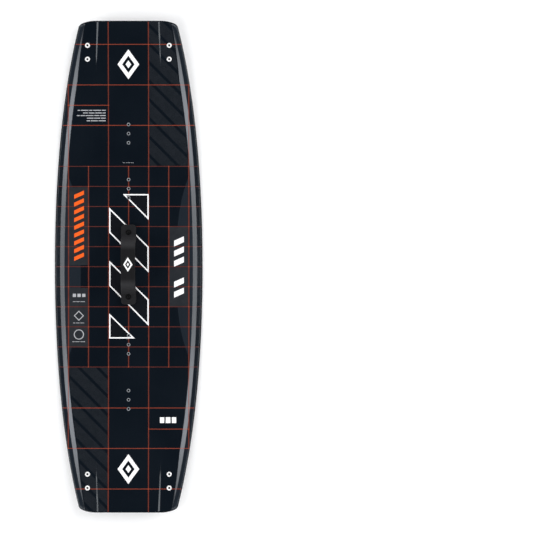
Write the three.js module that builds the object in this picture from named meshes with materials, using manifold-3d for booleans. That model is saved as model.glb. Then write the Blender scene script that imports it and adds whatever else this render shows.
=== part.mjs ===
// Twin-tip kiteboard, lying deck up on its four fins.
//
// Millimetres. +Z is up and is the deck's normal at the middle of the board, Y runs along the
// board and X across it. The origin is the middle of the footprint at the level of the fin tips.
// The board is a bonded stack: base sheet, base laminate, wood core framed by plastic rails,
// top laminate and printed topsheet. Fins and handle are screwed on.

import * as THREE from 'three';
import { mergeVertices } from 'three/addons/utils/BufferGeometryUtils.js';
import Module from 'manifold-3d';

const wasm = await Module();
wasm.setup();

// Plan of the board
const HALF_LENGTH = 680;
const HALF_WIDTH = 205;
const SIDECUT_SQUARE = 1.17e-4;
const SIDECUT_FOURTH = 8.3e-11;
const CORNER_Y = 664;
const TIP_FLAT_X = 90;
const TIP_CURVE_SHARE = 0.7;
const TIP_CURVE_POWER = 2;
const TIP_CORNER_POWER = 12;

// Profile of the board
const ROCKER = 41;
const BASE_CLEARANCE = 2.5;
const CONCAVE_MIDDLE = 3;
const CONCAVE_TIP = 1.5;
const THICKNESS_MIDDLE = 11.5;
const THICKNESS_TIP = 8;
const RAIL_HEIGHT_MIDDLE = 8.5;
const RAIL_HEIGHT_TIP = 7;
const BEVEL_INNER = 27;
const BEVEL_OUTER = 15;
const CROWN_SHARE = 0.54;
const BEVEL_SHARE = 0.25;

// Stack of layers
const SHEET = 0.6;
const LAMINATE = 0.8;
const BOND_LINE = 0.1;
const SKIN = SHEET + LAMINATE + 2 * BOND_LINE;
const RAIL_WIDTH = 12;
const FIT_GAP = 0.3;
const ROW_STEP = 90;
const STRAIGHT_ROWS = 15;
const CROWN_COLUMNS = [0.4, 0.8, 1];

// Threaded foot and handle inserts
const FOOT_GROUP_Y = [216, 368.4];
const INSERT_PITCH = 25.4;
const INSERT_RADIUS = 4.75;
const INSERT_DEPTH = 8;
const INSERT_BORE_RADIUS = 3.3;
const INSERT_BORE_DEPTH = 7;

// Fins
const FIN_X = 113;
const FIN_OUTER_Y = 648;
const FIN_DEPTH = 38;
const FIN_HALF_THICKNESS = 6.5;
const FIN_EDGE = 1.5;
const FIN_PLAN_POWER = 2.4;
const FIN_TAPER = 0.5;
const FIN_TAPER_POWER = 1.2;
const FIN_NOSE_POWER = 5;
const FIN_LEVELS = [0, 0.4, 0.8, 1];
const FIN_SCREW_Y = [574.4, 612.3];
const FIN_INSERT_RADIUS = 4.2;
const FIN_INSERT_TOP = 0.8;
const FIN_INSERT_LENGTH = 8;
// Lower edge of a fin: distance inboard of its outer edge, height above the ground.
const FIN_LOWER_EDGE = [
  [0, 9], [2.5, 4], [8, 1.2], [16, 0], [36, 0], [43, 2], [55, 8.2], [68, 15.2], [80, 22],
  [89, 27.2], [98, 30],
];

// Fasteners
const SCREW_RADIUS = 2.9;
const SCREW_HOLE_RADIUS = 3.9;
const SOCKET_RADIUS = 2.9;
const FIN_HEAD = { radius: 5.8, height: 2.6 };
const HANDLE_HEAD = { radius: 5, height: 2.8 };
const HEAD_RIM_PART = 0.45;
const HEAD_TOP_PART = 0.75;
const SOCKET_FLOOR_PART = 0.3;
const FIN_WASHER_RADIUS = 7.7;
const WASHER_HEIGHT = 1;
const WASHER_EDGE_PART = 0.5;
const WASHER_CHAMFER = 0.8;
const WASHER_HOLE_RADIUS = 3.4;

// Carry handle
const HANDLE_CENTRE_Y = 6;
const HANDLE_END_Y = 111;
const HANDLE_SCREW_Y = 89;
const HANDLE_TOP = 71;
const FOOT_CLEARANCE = 0.8;
const FOOT_THICKNESS = 11.5;
const GRIP_THICKNESS = 15;
const FOOT_WIDTH = 42;
const GRIP_WIDTH = 40;
const GRIP_CORNER = 4.5;
const STRAP_WIDTH = 25;
const STRAP_THICKNESS = 1.6;
const STRAP_END_Y = 105;
const RECESS_RADIUS = 7.8;
const HANDLE_WASHER_RADIUS = 6.3;
const HANDLE_STATIONS = 40;
const CORNER_PINCH = 0.3;
// Half of the handle's centreline: distance from its middle, part of the rise to the grip.
const HANDLE_RISE = [
  [HANDLE_END_Y, 0], [99, 0], [88, 0], [80, 0.004], [73.5, 0.11], [68, 0.34], [63.5, 0.6],
  [57.5, 0.83], [46, 0.965], [25, 1],
];

// Cutting tools: how far they run past a surface, and the sides of what is cut or turned
const CUT_REACH = 20;
const BOARD_HOLE_SIDES = 6;
const POCKET_SIDES = 8;
const WASHER_SIDES = 12;
const FASTENER_SIDES = 10;
const HANDLE_HOLE_SIDES = 12;
const RECESS_SIDES = 16;

// Outline and surfaces of the board

function halfWidth(y) {
  return HALF_WIDTH - SIDECUT_SQUARE * y ** 2 - SIDECUT_FOURTH * y ** 4;
}

// Distance from the middle to the tip's edge: square across, then curving back to a round corner.
function tipEdge(x) {
  const part = Math.max(0, Math.abs(x) - TIP_FLAT_X) / (halfWidth(CORNER_Y) - TIP_FLAT_X);
  const curve = TIP_CURVE_SHARE * part ** TIP_CURVE_POWER;
  const corner = (1 - TIP_CURVE_SHARE) * part ** TIP_CORNER_POWER;
  return HALF_LENGTH - (curve + corner) * (HALF_LENGTH - CORNER_Y);
}

function fromMiddleToTip(middle, tip, y) {
  return middle + (tip - middle) * (y / HALF_LENGTH) ** 2;
}

function railBottom(y) {
  return BASE_CLEARANCE + ROCKER * (y / HALF_LENGTH) ** 2;
}

function baseHeight(x, y) {
  const concave = fromMiddleToTip(CONCAVE_MIDDLE, CONCAVE_TIP, y);
  return railBottom(y) + concave * (1 - (x / halfWidth(y)) ** 2);
}

// The deck is a shallow crown, then a bevel, then a flatter slope out to the rail.
function deckHeight(x, y) {
  const edge = halfWidth(y);
  const inner = edge - BEVEL_INNER;
  const outer = edge - BEVEL_OUTER;
  const across = Math.abs(x);
  const middle = baseHeight(0, y) + fromMiddleToTip(THICKNESS_MIDDLE, THICKNESS_TIP, y);
  const rail = railBottom(y) + fromMiddleToTip(RAIL_HEIGHT_MIDDLE, RAIL_HEIGHT_TIP, y);
  const crown = CROWN_SHARE * Math.min(1, across / inner) ** 2;
  const bevel = BEVEL_SHARE * THREE.MathUtils.clamp((across - inner) / (outer - inner), 0, 1);
  const slope = (1 - CROWN_SHARE - BEVEL_SHARE) * Math.max(0, (across - outer) / (edge - outer));
  return middle - (middle - rail) * (crown + bevel + slope);
}

// Solids

// Joins rings of equal length into one closed solid. Point i of a ring faces point n - 1 - i,
// so each end is closed by a strip between the two halves of its ring. Both halves are split
// along the same diagonal, which keeps stacked layers parallel.
function loft(rings) {
  const n = rings[0].length;
  const index = [];
  for (let ring = 0; ring + 1 < rings.length; ring += 1) {
    for (let i = 0; i < n; i += 1) {
      const a = ring * n + i;
      const b = ring * n + ((i + 1) % n);
      const halves = i < n / 2 ? [a, b, b + n, a, b + n, a + n] : [a, b, a + n, b, b + n, a + n];
      index.push(...halves);
    }
  }
  const last = (rings.length - 1) * n;
  for (let i = 0; i + 1 < n / 2; i += 1) {
    const [a, b, c, d] = [i, i + 1, n - 2 - i, n - 1 - i];
    index.push(b, a, d, b, d, c);
    index.push(last + a, last + b, last + c, last + a, last + c, last + d);
  }
  const geometry = new THREE.BufferGeometry();
  const positions = rings.flat().flatMap((point) => [point.x, point.y, point.z]);
  geometry.setAttribute('position', new THREE.Float32BufferAttribute(positions, 3));
  geometry.setIndex(index);
  return geometry;
}

function signedVolume(positions, triangles) {
  const [a, b, c] = [new THREE.Vector3(), new THREE.Vector3(), new THREE.Vector3()];
  let volume = 0;
  for (let i = 0; i < triangles.length; i += 3) {
    a.fromArray(positions, 3 * triangles[i]);
    b.fromArray(positions, 3 * triangles[i + 1]);
    c.fromArray(positions, 3 * triangles[i + 2]);
    volume += a.dot(b.cross(c)) / 6;
  }
  return volume;
}

// A closed geometry as a solid for cutting, with its faces turned outwards.
function toSolid(geometry) {
  const bare = geometry.clone();
  bare.deleteAttribute('normal');
  bare.deleteAttribute('uv');
  const merged = mergeVertices(bare, 1e-3);
  const vertProperties = new Float32Array(merged.attributes.position.array);
  const triangles = [];
  for (let i = 0; i < merged.index.count; i += 3) {
    const [a, b, c] = [0, 1, 2].map((corner) => merged.index.getX(i + corner));
    if (a !== b && b !== c && c !== a) {
      triangles.push(a, b, c);
    }
  }
  if (signedVolume(vertProperties, triangles) < 0) {
    triangles.reverse();
  }
  const triVerts = new Uint32Array(triangles);
  return new wasm.Manifold(new wasm.Mesh({ numProp: 3, vertProperties, triVerts }));
}

function toGeometry(solid) {
  const mesh = solid.getMesh();
  const geometry = new THREE.BufferGeometry();
  geometry.setAttribute('position', new THREE.BufferAttribute(mesh.vertProperties, 3));
  geometry.setIndex(new THREE.BufferAttribute(mesh.triVerts, 1));
  geometry.computeVertexNormals();
  return geometry;
}

function cut(geometry, tools) {
  return toGeometry(tools.reduce((solid, tool) => solid.subtract(toSolid(tool)), toSolid(geometry)));
}

// A turned shape about the Z axis; the profile lists [radius, height] from axis to axis.
function turned(profile, sides) {
  const points = profile.map(([radius, height]) => new THREE.Vector2(radius, height));
  const geometry = new THREE.LatheGeometry(points, sides);
  geometry.rotateX(Math.PI / 2);
  return toGeometry(toSolid(geometry));
}

function rod(radius, low, high, sides) {
  const geometry = new THREE.CylinderGeometry(radius, radius, high - low, sides);
  geometry.rotateX(Math.PI / 2);
  geometry.translate(0, 0, (low + high) / 2);
  return geometry;
}

// Layers of the board

// A row of grid points runs straight across, or follows the tip's edge at an inset from it.
function straightRow(y) {
  return { halfWidth: halfWidth(y), yAt: () => y };
}

function tipRow(end, inset) {
  return { halfWidth: halfWidth(CORNER_Y - inset), yAt: (x) => end * (tipEdge(x) - inset) };
}

function boardRows(inset) {
  const straight = Array.from({ length: STRAIGHT_ROWS }, (_, i) => (
    straightRow((i - (STRAIGHT_ROWS - 1) / 2) * ROW_STEP)));
  return [tipRow(-1, inset), ...straight, tipRow(1, inset)];
}

const fullRows = boardRows(RAIL_WIDTH);
const layerRows = [tipRow(-1, 0), ...fullRows, tipRow(1, 0)];
const coreRows = boardRows(RAIL_WIDTH + FIT_GAP);

// Grid columns, as distances from the centreline for a given half-width, out to an inset.
function columns(edge, inset) {
  const inner = edge - BEVEL_INNER;
  const right = [...CROWN_COLUMNS.map((part) => part * inner), edge - BEVEL_OUTER, edge - inset];
  return [...right.map((x) => -x).reverse(), 0, ...right];
}

function plate(rows, columnsAt, lowAt, highAt) {
  const rings = rows.map((row) => {
    const points = columnsAt(row.halfWidth).map((x) => [x, row.yAt(x)]);
    const high = points.map(([x, y]) => new THREE.Vector3(x, y, highAt(x, y)));
    const low = points.map(([x, y]) => new THREE.Vector3(x, y, lowAt(x, y)));
    return [...high, ...low.reverse()];
  });
  return loft(rings);
}

function belowDeck(depth) {
  return (x, y) => deckHeight(x, y) - depth;
}

function aboveBase(height) {
  return (x, y) => baseHeight(x, y) + height;
}

const layerColumns = (edge) => columns(edge, 0);
const coreColumns = (edge) => columns(edge, RAIL_WIDTH + FIT_GAP);

// Where things are fastened

function deckNormal(x, y) {
  const reach = 1;
  const across = (deckHeight(x + reach, y) - deckHeight(x - reach, y)) / (2 * reach);
  const along = (deckHeight(x, y + reach) - deckHeight(x, y - reach)) / (2 * reach);
  return new THREE.Vector3(-across, -along, 1).normalize();
}

// Stands an object on the deck at x, y, square to the surface there.
function standOnDeck(object, { x, y }) {
  object.position.set(x, y, deckHeight(x, y));
  object.quaternion.setFromUnitVectors(new THREE.Vector3(0, 0, 1), deckNormal(x, y));
  object.updateMatrix();
  return object;
}

function toolAt(site, geometry) {
  return geometry.clone().applyMatrix4(standOnDeck(new THREE.Object3D(), site).matrix);
}

const ends = [['front', 1], ['back', -1]];
const sides = [['left', -1], ['right', 1]];

const finSites = ends.flatMap(([endName, end]) => sides.flatMap(([sideName, side]) => (
  ['inner', 'outer'].map((position, i) => ({
    name: `${endName}_${sideName}_${position}`,
    x: side * FIN_X,
    y: end * FIN_SCREW_Y[i],
  })))));

const footSites = ends.flatMap(([endName, end]) => FOOT_GROUP_Y.flatMap((groupY, group) => (
  [-1, 0, 1].map((step, i) => ({
    name: `${endName}_${3 * group + i + 1}`,
    x: 0,
    y: end * (groupY + step * INSERT_PITCH),
  })))));

const handleSites = ends.map(([name, end]) => (
  { name, x: 0, y: HANDLE_CENTRE_Y + end * HANDLE_SCREW_Y }));

const throughHole = rod(SCREW_HOLE_RADIUS, -CUT_REACH, CUT_REACH, BOARD_HOLE_SIDES);
const pocketRadius = INSERT_RADIUS + 2 * FIT_GAP;
const insertPocket = rod(pocketRadius, -INSERT_DEPTH - FIT_GAP, CUT_REACH, POCKET_SIDES);
const finHoles = finSites.map((site) => toolAt(site, throughHole));
const insertPockets = [...footSites, ...handleSites].map((site) => toolAt(site, insertPocket));

// Board thickness under a site, along the fastener.
function boardThickness({ x, y }) {
  return (deckHeight(x, y) - baseHeight(x, y)) * deckNormal(x, y).z;
}

// Pieces

const materials = {
  topsheet: new THREE.MeshStandardMaterial({ color: 0x11161c, roughness: 0.35, metalness: 0 }),
  laminate: new THREE.MeshStandardMaterial({ color: 0x2b2c2a, roughness: 0.5, metalness: 0 }),
  wood: new THREE.MeshStandardMaterial({ color: 0xc9a878, roughness: 0.75, metalness: 0 }),
  base: new THREE.MeshStandardMaterial({ color: 0x1c1c1f, roughness: 0.4, metalness: 0 }),
  rail: new THREE.MeshStandardMaterial({ color: 0x121315, roughness: 0.5, metalness: 0 }),
  fin: new THREE.MeshStandardMaterial({ color: 0x1b1d20, roughness: 0.4, metalness: 0 }),
  steel: new THREE.MeshStandardMaterial({ color: 0xb9bcc0, roughness: 0.3, metalness: 1 }),
  washer: new THREE.MeshStandardMaterial({ color: 0xe4e6e8, roughness: 0.35, metalness: 1 }),
  brass: new THREE.MeshStandardMaterial({ color: 0xb08d4a, roughness: 0.35, metalness: 1 }),
  rubber: new THREE.MeshStandardMaterial({ color: 0x28272a, roughness: 0.75, metalness: 0 }),
  webbing: new THREE.MeshStandardMaterial({ color: 0x19191b, roughness: 0.9, metalness: 0 }),
};

const board = new THREE.Group();

function add(name, geometry, material, parent = board) {
  const mesh = new THREE.Mesh(geometry, material);
  mesh.name = name;
  parent.add(mesh);
  return mesh;
}

function addStack() {
  const laminateTop = SHEET + BOND_LINE;
  const laminateBottom = laminateTop + LAMINATE;
  const deckCuts = [...finHoles, ...insertPockets];
  const topsheet = plate(layerRows, layerColumns, belowDeck(SHEET), belowDeck(0));
  const topLaminate = plate(layerRows, layerColumns, belowDeck(laminateBottom), belowDeck(laminateTop));
  const core = plate(coreRows, coreColumns, aboveBase(SKIN), belowDeck(SKIN));
  const baseLaminate = plate(layerRows, layerColumns, aboveBase(laminateTop), aboveBase(laminateBottom));
  const baseSheet = plate(layerRows, layerColumns, aboveBase(0), aboveBase(SHEET));
  add('topsheet', cut(topsheet, deckCuts), materials.topsheet);
  add('top_laminate', cut(topLaminate, deckCuts), materials.laminate);
  add('wood_core', cut(core, deckCuts), materials.wood);
  add('base_laminate', cut(baseLaminate, finHoles), materials.laminate);
  add('base_sheet', cut(baseSheet, finHoles), materials.base);
}

function addRails() {
  for (const [name, side] of sides) {
    const railColumns = (edge) => [side * (edge - RAIL_WIDTH), side * edge];
    const rail = plate(layerRows, railColumns, aboveBase(SKIN), belowDeck(SKIN));
    add(`rail_${name}`, cut(rail, []), materials.rail);
  }
  for (const [name, end] of ends) {
    const rows = [tipRow(end, 0), tipRow(end, RAIL_WIDTH)];
    const rail = plate(rows, coreColumns, aboveBase(SKIN), belowDeck(SKIN));
    add(`rail_tip_${name}`, cut(rail, []), materials.rail);
  }
}

function addInserts() {
  const insert = turned([
    [0, -INSERT_BORE_DEPTH], [INSERT_BORE_RADIUS, -INSERT_BORE_DEPTH], [INSERT_BORE_RADIUS, 0],
    [INSERT_RADIUS, 0], [INSERT_RADIUS, -INSERT_DEPTH], [0, -INSERT_DEPTH],
  ], FASTENER_SIDES);
  for (const site of footSites) {
    standOnDeck(add(`foot_insert_${site.name}`, insert, materials.steel), site);
  }
  for (const site of handleSites) {
    standOnDeck(add(`handle_insert_${site.name}`, insert, materials.steel), site);
  }
}

// Half-thickness of a fin at a part of its chord and a distance below the board: leaf-shaped in
// plan, thinning downwards and rounded in to a narrow edge along its own lower outline.
function finHalfThickness(chord, drop, part) {
  const plan = (1 - Math.abs(2 * chord - 1) ** FIN_PLAN_POWER) ** (1 / FIN_PLAN_POWER);
  const taper = 1 - FIN_TAPER * (drop / FIN_DEPTH) ** FIN_TAPER_POWER;
  const nose = Math.sqrt(1 - part ** FIN_NOSE_POWER);
  return FIN_EDGE + (FIN_HALF_THICKNESS - FIN_EDGE) * plan * taper * nose;
}

function finGeometry(side, end) {
  const chordLength = FIN_LOWER_EDGE.at(-1)[0];
  const rings = FIN_LOWER_EDGE.map(([inboard, low]) => {
    const y = FIN_OUTER_Y - inboard;
    const high = baseHeight(FIN_X, y) - FIT_GAP;
    const wall = (sign) => FIN_LEVELS.map((part) => {
      const drop = (high - low) * part;
      const half = finHalfThickness(inboard / chordLength, drop, part);
      return new THREE.Vector3(side * FIN_X + sign * half, end * y, high - drop);
    });
    return [...wall(-1), ...wall(1).reverse()];
  });
  return loft(rings);
}

function addFins() {
  for (const [endName, end] of ends) {
    for (const [sideName, side] of sides) {
      const pockets = FIN_SCREW_Y.map((y) => {
        const site = { x: side * FIN_X, y: end * y };
        const low = -boardThickness(site) - FIN_INSERT_TOP - FIN_INSERT_LENGTH - FIT_GAP;
        return toolAt(site, rod(FIN_INSERT_RADIUS + FIT_GAP, low, 0, FASTENER_SIDES));
      });
      add(`fin_${endName}_${sideName}`, cut(finGeometry(side, end), pockets), materials.fin);
    }
  }
}

// A round-headed socket screw whose head stands on z = 0 and whose shank goes down.
function screwGeometry(headRadius, headHeight, length) {
  const rim = HEAD_RIM_PART * headHeight;
  const socketFloor = SOCKET_FLOOR_PART * headHeight;
  return turned([
    [0, socketFloor], [SOCKET_RADIUS, socketFloor], [SOCKET_RADIUS, headHeight],
    [HEAD_TOP_PART * headRadius, headHeight], [headRadius, rim], [headRadius, 0],
    [SCREW_RADIUS, 0], [SCREW_RADIUS, -length], [0, -length],
  ], FASTENER_SIDES);
}

function washerGeometry(radius) {
  return turned([
    [WASHER_HOLE_RADIUS, 0], [radius, 0], [radius, WASHER_EDGE_PART * WASHER_HEIGHT],
    [radius - WASHER_CHAMFER, WASHER_HEIGHT], [WASHER_HOLE_RADIUS, WASHER_HEIGHT],
    [WASHER_HOLE_RADIUS, 0],
  ], WASHER_SIDES);
}

// A washer lying at a height over the deck and the screw that clamps it, as one upright stack.
function addScrewAndWasher(prefix, site, level, head, washer, reach) {
  const stack = standOnDeck(new THREE.Group(), site);
  const headLevel = level + WASHER_HEIGHT + BOND_LINE;
  const screw = screwGeometry(head.radius, head.height, headLevel + reach);
  add(`${prefix}_washer_${site.name}`, washer, materials.washer, stack).position.z = level;
  add(`${prefix}_screw_${site.name}`, screw, materials.steel, stack).position.z = headLevel;
  board.add(stack);
  return stack;
}

function addFinFasteners() {
  const washer = washerGeometry(FIN_WASHER_RADIUS);
  const bore = SCREW_RADIUS + FIT_GAP;
  const sleeve = turned([
    [bore, 0], [FIN_INSERT_RADIUS, 0], [FIN_INSERT_RADIUS, -FIN_INSERT_LENGTH],
    [bore, -FIN_INSERT_LENGTH], [bore, 0],
  ], FASTENER_SIDES);
  for (const site of finSites) {
    const top = boardThickness(site) + FIN_INSERT_TOP;
    const stack = addScrewAndWasher('fin', site, FIT_GAP, FIN_HEAD, washer, top + FIN_INSERT_LENGTH);
    add(`fin_insert_${site.name}`, sleeve, materials.brass, stack).position.z = -top;
  }
}

// Carry handle

const footLevel = deckHeight(0, HANDLE_CENTRE_Y + HANDLE_SCREW_Y) + FOOT_CLEARANCE;
const footMiddle = footLevel + FOOT_THICKNESS / 2;
const gripMiddle = deckHeight(0, 0) + HANDLE_TOP - GRIP_THICKNESS / 2;

// Centreline of the handle, end to end: a flat foot, a steep leg, the grip and back down.
function handleCurve() {
  const rise = gripMiddle - footMiddle;
  const half = (end) => HANDLE_RISE.map(([y, part]) => (
    new THREE.Vector3(0, HANDLE_CENTRE_Y + end * y, footMiddle + part * rise)));
  const middle = new THREE.Vector3(0, HANDLE_CENTRE_Y, gripMiddle);
  return new THREE.CatmullRomCurve3([...half(1), middle, ...half(-1).reverse()]);
}

// Outline of a rounded rectangle as [across, up]: its upper half, then its lower half.
function roundedSection(width, thickness, corner) {
  const pinch = CORNER_PINCH * corner;
  const turn = [[0, corner], [pinch, pinch], [corner, 0]];
  const left = turn.map(([inward, down]) => [inward - width / 2, thickness / 2 - down]);
  const right = left.map(([x, z]) => [-x, z]).reverse();
  const upper = [...left, ...right];
  const lower = upper.map(([x, z]) => [x, -z]).reverse();
  return [...upper, ...lower];
}

function flatSection(width, thickness) {
  const upper = [[-width / 2, thickness / 2], [width / 2, thickness / 2]];
  return [...upper, ...upper.map(([x, z]) => [x, -z]).reverse()];
}

// Sweeps a section along the handle's centreline, starting and ending at an inset from its ends.
function sweepHandle(inset, sectionAt) {
  const path = handleCurve();
  const start = inset / path.getLength();
  const rings = Array.from({ length: HANDLE_STATIONS + 1 }, (_, i) => {
    const u = start + (1 - 2 * start) * (i / HANDLE_STATIONS);
    const centre = path.getPointAt(u);
    const tangent = path.getTangentAt(u);
    const up = new THREE.Vector3(0, tangent.z, -tangent.y);
    const atEnd = i === 0 || i === HANDLE_STATIONS;
    return sectionAt(centre.z, atEnd).map(([across, rise]) => (
      new THREE.Vector3(across, 0, 0).add(centre).addScaledVector(up, rise)));
  });
  return loft(rings);
}

function addHandle() {
  const gripSection = (height, atEnd) => {
    const blend = THREE.MathUtils.smoothstep(height, footMiddle, gripMiddle);
    const width = THREE.MathUtils.lerp(FOOT_WIDTH, GRIP_WIDTH, blend) - (atEnd ? 2 * GRIP_CORNER : 0);
    return roundedSection(width, THREE.MathUtils.lerp(FOOT_THICKNESS, GRIP_THICKNESS, blend), GRIP_CORNER);
  };
  const strapInset = HANDLE_END_Y - STRAP_END_Y;
  const slotSection = () => flatSection(STRAP_WIDTH + 2 * FIT_GAP, STRAP_THICKNESS + 2 * FIT_GAP);
  const strapSection = () => flatSection(STRAP_WIDTH, STRAP_THICKNESS);
  const slot = sweepHandle(strapInset - FIT_GAP, slotSection);
  const middleAboveDeck = FOOT_CLEARANCE + FOOT_THICKNESS / 2;
  const screwHole = rod(SCREW_HOLE_RADIUS, 0, CUT_REACH, HANDLE_HOLE_SIDES);
  const recess = rod(RECESS_RADIUS, middleAboveDeck, CUT_REACH, RECESS_SIDES);
  const screwHoles = handleSites.map((site) => toolAt(site, screwHole));
  const recesses = handleSites.map((site) => toolAt(site, recess));
  const grip = cut(sweepHandle(0, gripSection), [slot, ...screwHoles, ...recesses]);
  add('handle_grip', grip, materials.rubber);
  add('handle_strap', cut(sweepHandle(strapInset, strapSection), screwHoles), materials.webbing);

  const washer = washerGeometry(HANDLE_WASHER_RADIUS);
  const level = middleAboveDeck + STRAP_THICKNESS / 2 + 2 * FIT_GAP;
  for (const site of handleSites) {
    addScrewAndWasher('handle', site, level, HANDLE_HEAD, washer, INSERT_BORE_DEPTH - 2 * FIT_GAP);
  }
}

addStack();
addRails();
addInserts();
addFins();
addFinFasteners();
addHandle();

export default board;
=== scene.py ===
"""Looks of a twin-tip kiteboard lying deck up on its four fins.

The board's surfaces are formulas of x and y in millimetres, with x across and y along the
board, and every mesh becomes metres when it is made. Prints are thin layers over the deck.
"""
import math

import bmesh
import bpy
import numpy as np
from mathutils import Matrix, Vector


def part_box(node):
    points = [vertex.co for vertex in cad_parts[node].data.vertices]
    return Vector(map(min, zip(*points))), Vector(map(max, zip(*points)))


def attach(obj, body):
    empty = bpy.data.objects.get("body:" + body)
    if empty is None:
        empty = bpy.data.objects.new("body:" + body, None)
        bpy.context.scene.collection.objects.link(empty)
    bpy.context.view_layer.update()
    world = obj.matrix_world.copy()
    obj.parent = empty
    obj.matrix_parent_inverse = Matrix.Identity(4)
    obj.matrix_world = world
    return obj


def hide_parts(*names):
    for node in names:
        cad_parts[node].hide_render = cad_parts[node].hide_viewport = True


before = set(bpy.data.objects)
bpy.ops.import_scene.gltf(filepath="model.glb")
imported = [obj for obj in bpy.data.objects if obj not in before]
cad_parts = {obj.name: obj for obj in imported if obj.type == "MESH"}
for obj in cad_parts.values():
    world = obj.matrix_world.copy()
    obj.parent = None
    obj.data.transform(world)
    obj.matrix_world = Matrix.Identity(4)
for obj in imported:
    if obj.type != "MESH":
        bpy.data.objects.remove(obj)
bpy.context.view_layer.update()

MM = 0.001
METRE = 1000.0

# Plan and profile of the board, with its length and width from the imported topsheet
BOARD_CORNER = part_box("topsheet")[1]
HALF_LENGTH = BOARD_CORNER[1] * METRE
HALF_WIDTH = BOARD_CORNER[0] * METRE
SIDECUT_SQUARE = 1.17e-4
SIDECUT_FOURTH = 8.3e-11
CORNER_Y = 664
TIP_FLAT_X = 90
TIP_CURVE_SHARE = 0.7
TIP_CURVE_POWER = 2
TIP_CORNER_POWER = 12
ROCKER = 41
BASE_CLEARANCE = 2.5
# In the middle and at the tips
CONCAVE = (3, 1.5)
THICKNESS = (11.5, 8)
RAIL_HEIGHT = (8.5, 7)
BEVEL_INNER = 27
BEVEL_OUTER = 15
CROWN_SHARE = 0.54
BEVEL_SHARE = 0.25
BEVEL_SLOPE = 0.125
BEVEL_NARROWS_FROM = 515
BEVEL_NARROWS_OVER = 150
BEVEL_INNER_SHIFT = 11
BEVEL_OUTER_SHIFT = 1
BEVEL_FADE = 0.22
# Painted reflection along the bevel beside the outer foot inserts: where it is strongest along the
# board and how far it reaches
PAINTED_REFLECTION_Y = 400
PAINTED_REFLECTION_REACH = 170
# Painted highlight on the rim outside the bevel towards the tips: where it starts, how far it fades
# in and its strength; then how far the painted highlight on the facets fades where they meet the
# bevel
RIM_HIGHLIGHT_FROM = 200
RIM_HIGHLIGHT_OVER = 300
RIM_HIGHLIGHT_STRENGTH = 0.8
FACET_HIGHLIGHT_FADE = 6

# Layers
SHEET = 0.6
LAMINATE = 0.8
BOND_LINE = 0.1
SKIN = SHEET + LAMINATE + 2 * BOND_LINE
RAIL_WIDTH = 12
FIT_GAP = 0.3
DECK_EDGE_RADIUS = 2.2
BASE_EDGE_RADIUS = 1.5

# Meshes: rows and stations, passes that settle lines on the tip's curve, distances in metres
# within which points merge, and angles in degrees from which an edge is sharp
BOARD_ROWS = 181
TIP_RAIL_STATIONS = 121
SETTLING_PASSES = 6
MERGE_DISTANCE = 1e-6
DEGENERATE_DISTANCE = 1e-7
SHARP_ANGLE = 30
TURNED_SHARP_ANGLE = 32
FIN_SHARP_ANGLE = 40
HANDLE_SHARP_ANGLE = 35

# Relief of the deck: a lens-shaped facet along each rail and a raised middle at each tip
LENS_X = 133
LENS_SPREAD = 45
LENS_REACH = 275
LENS_SLOPE = 0.016
RIDGE_X = 82
RIDGE_SPREAD = 0.048
RIDGE_START = 520
RIDGE_START_WIDTH = 0.5
RIDGE_WIDTH = 4.6
RIDGE_WIDENING = 0.7
RIDGE_RISE = 2.6
RIDGE_SLOPE = 0.122

# Relief of the base: long channel steps along the rails and shorter ones at the tips
CHANNEL_X = 148
CHANNEL_TAPER = 18
CHANNEL_REACH = 500
CHANNEL_FADE = 60
TIP_CHANNEL_X = 81.5
TIP_CHANNEL_SPREAD = 15.5
TIP_CHANNEL_LENGTH = 210
TIP_CHANNEL_FADE = 80
CHANNEL_DEPTH = 0.5
CHANNEL_WALL = 2.2

# Fasteners
INSERT_RADIUS = 4.75
INSERT_DEPTH = 8
INSERT_HOLE_RADIUS = 4.95
THREAD_MAJOR = 3.3
THREAD_MINOR = 2.7
THREAD_PITCH = 1
SCREW_RADIUS = 2.9
SCREW_HOLE_RADIUS = 3.9
FIN_HEAD_RADIUS = 5.8
FIN_HEAD_HEIGHT = 2.6
HANDLE_HEAD_RADIUS = 5
HANDLE_HEAD_HEIGHT = 2.8
SOCKET_RADIUS = 3
FIN_WASHER_RADIUS = 6.9
HANDLE_WASHER_RADIUS = 6.3
WASHER_HEIGHT = 1
WASHER_HOLE_RADIUS = 3.4
HANDLE_SCREW_GRIP = 6
TURNED_SIDES = 60
HOLE_SIDES = 40
DECK_CUT = (-5, 5)
BASE_CUT = (-20, -4)
RECESS_SIDES = 56

# Fins
FIN_X = 113
FIN_OUTER_Y = 648
FIN_DEPTH = 38
FIN_HALF_THICKNESS = 6.5
FIN_EDGE = 0.9
FIN_PLAN_POWER = 2.4
FIN_TAPER = 0.5
FIN_TAPER_POWER = 1.2
FIN_NOSE_POWER = 4
FIN_FLANGE = 2.2
FIN_FLANGE_HEIGHT = 2.4
FIN_FLANGE_DROPS = (0, 0.4, 0.8, 1.3, 1.9, 2.6, 4)
FIN_SHALLOW = 8
FIN_GAP = 0.05
FIN_LEVELS = 16
FIN_STATIONS = 90
# Lower edge of a fin: distance inboard of its outer edge, height above the ground.
FIN_LOWER_EDGE = [
    (0, 9), (2.5, 4), (8, 1.2), (16, 0), (36, 0), (43, 2), (55, 8.2), (68, 15.2), (80, 22),
    (89, 27.2), (98, 30),
]

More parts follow.
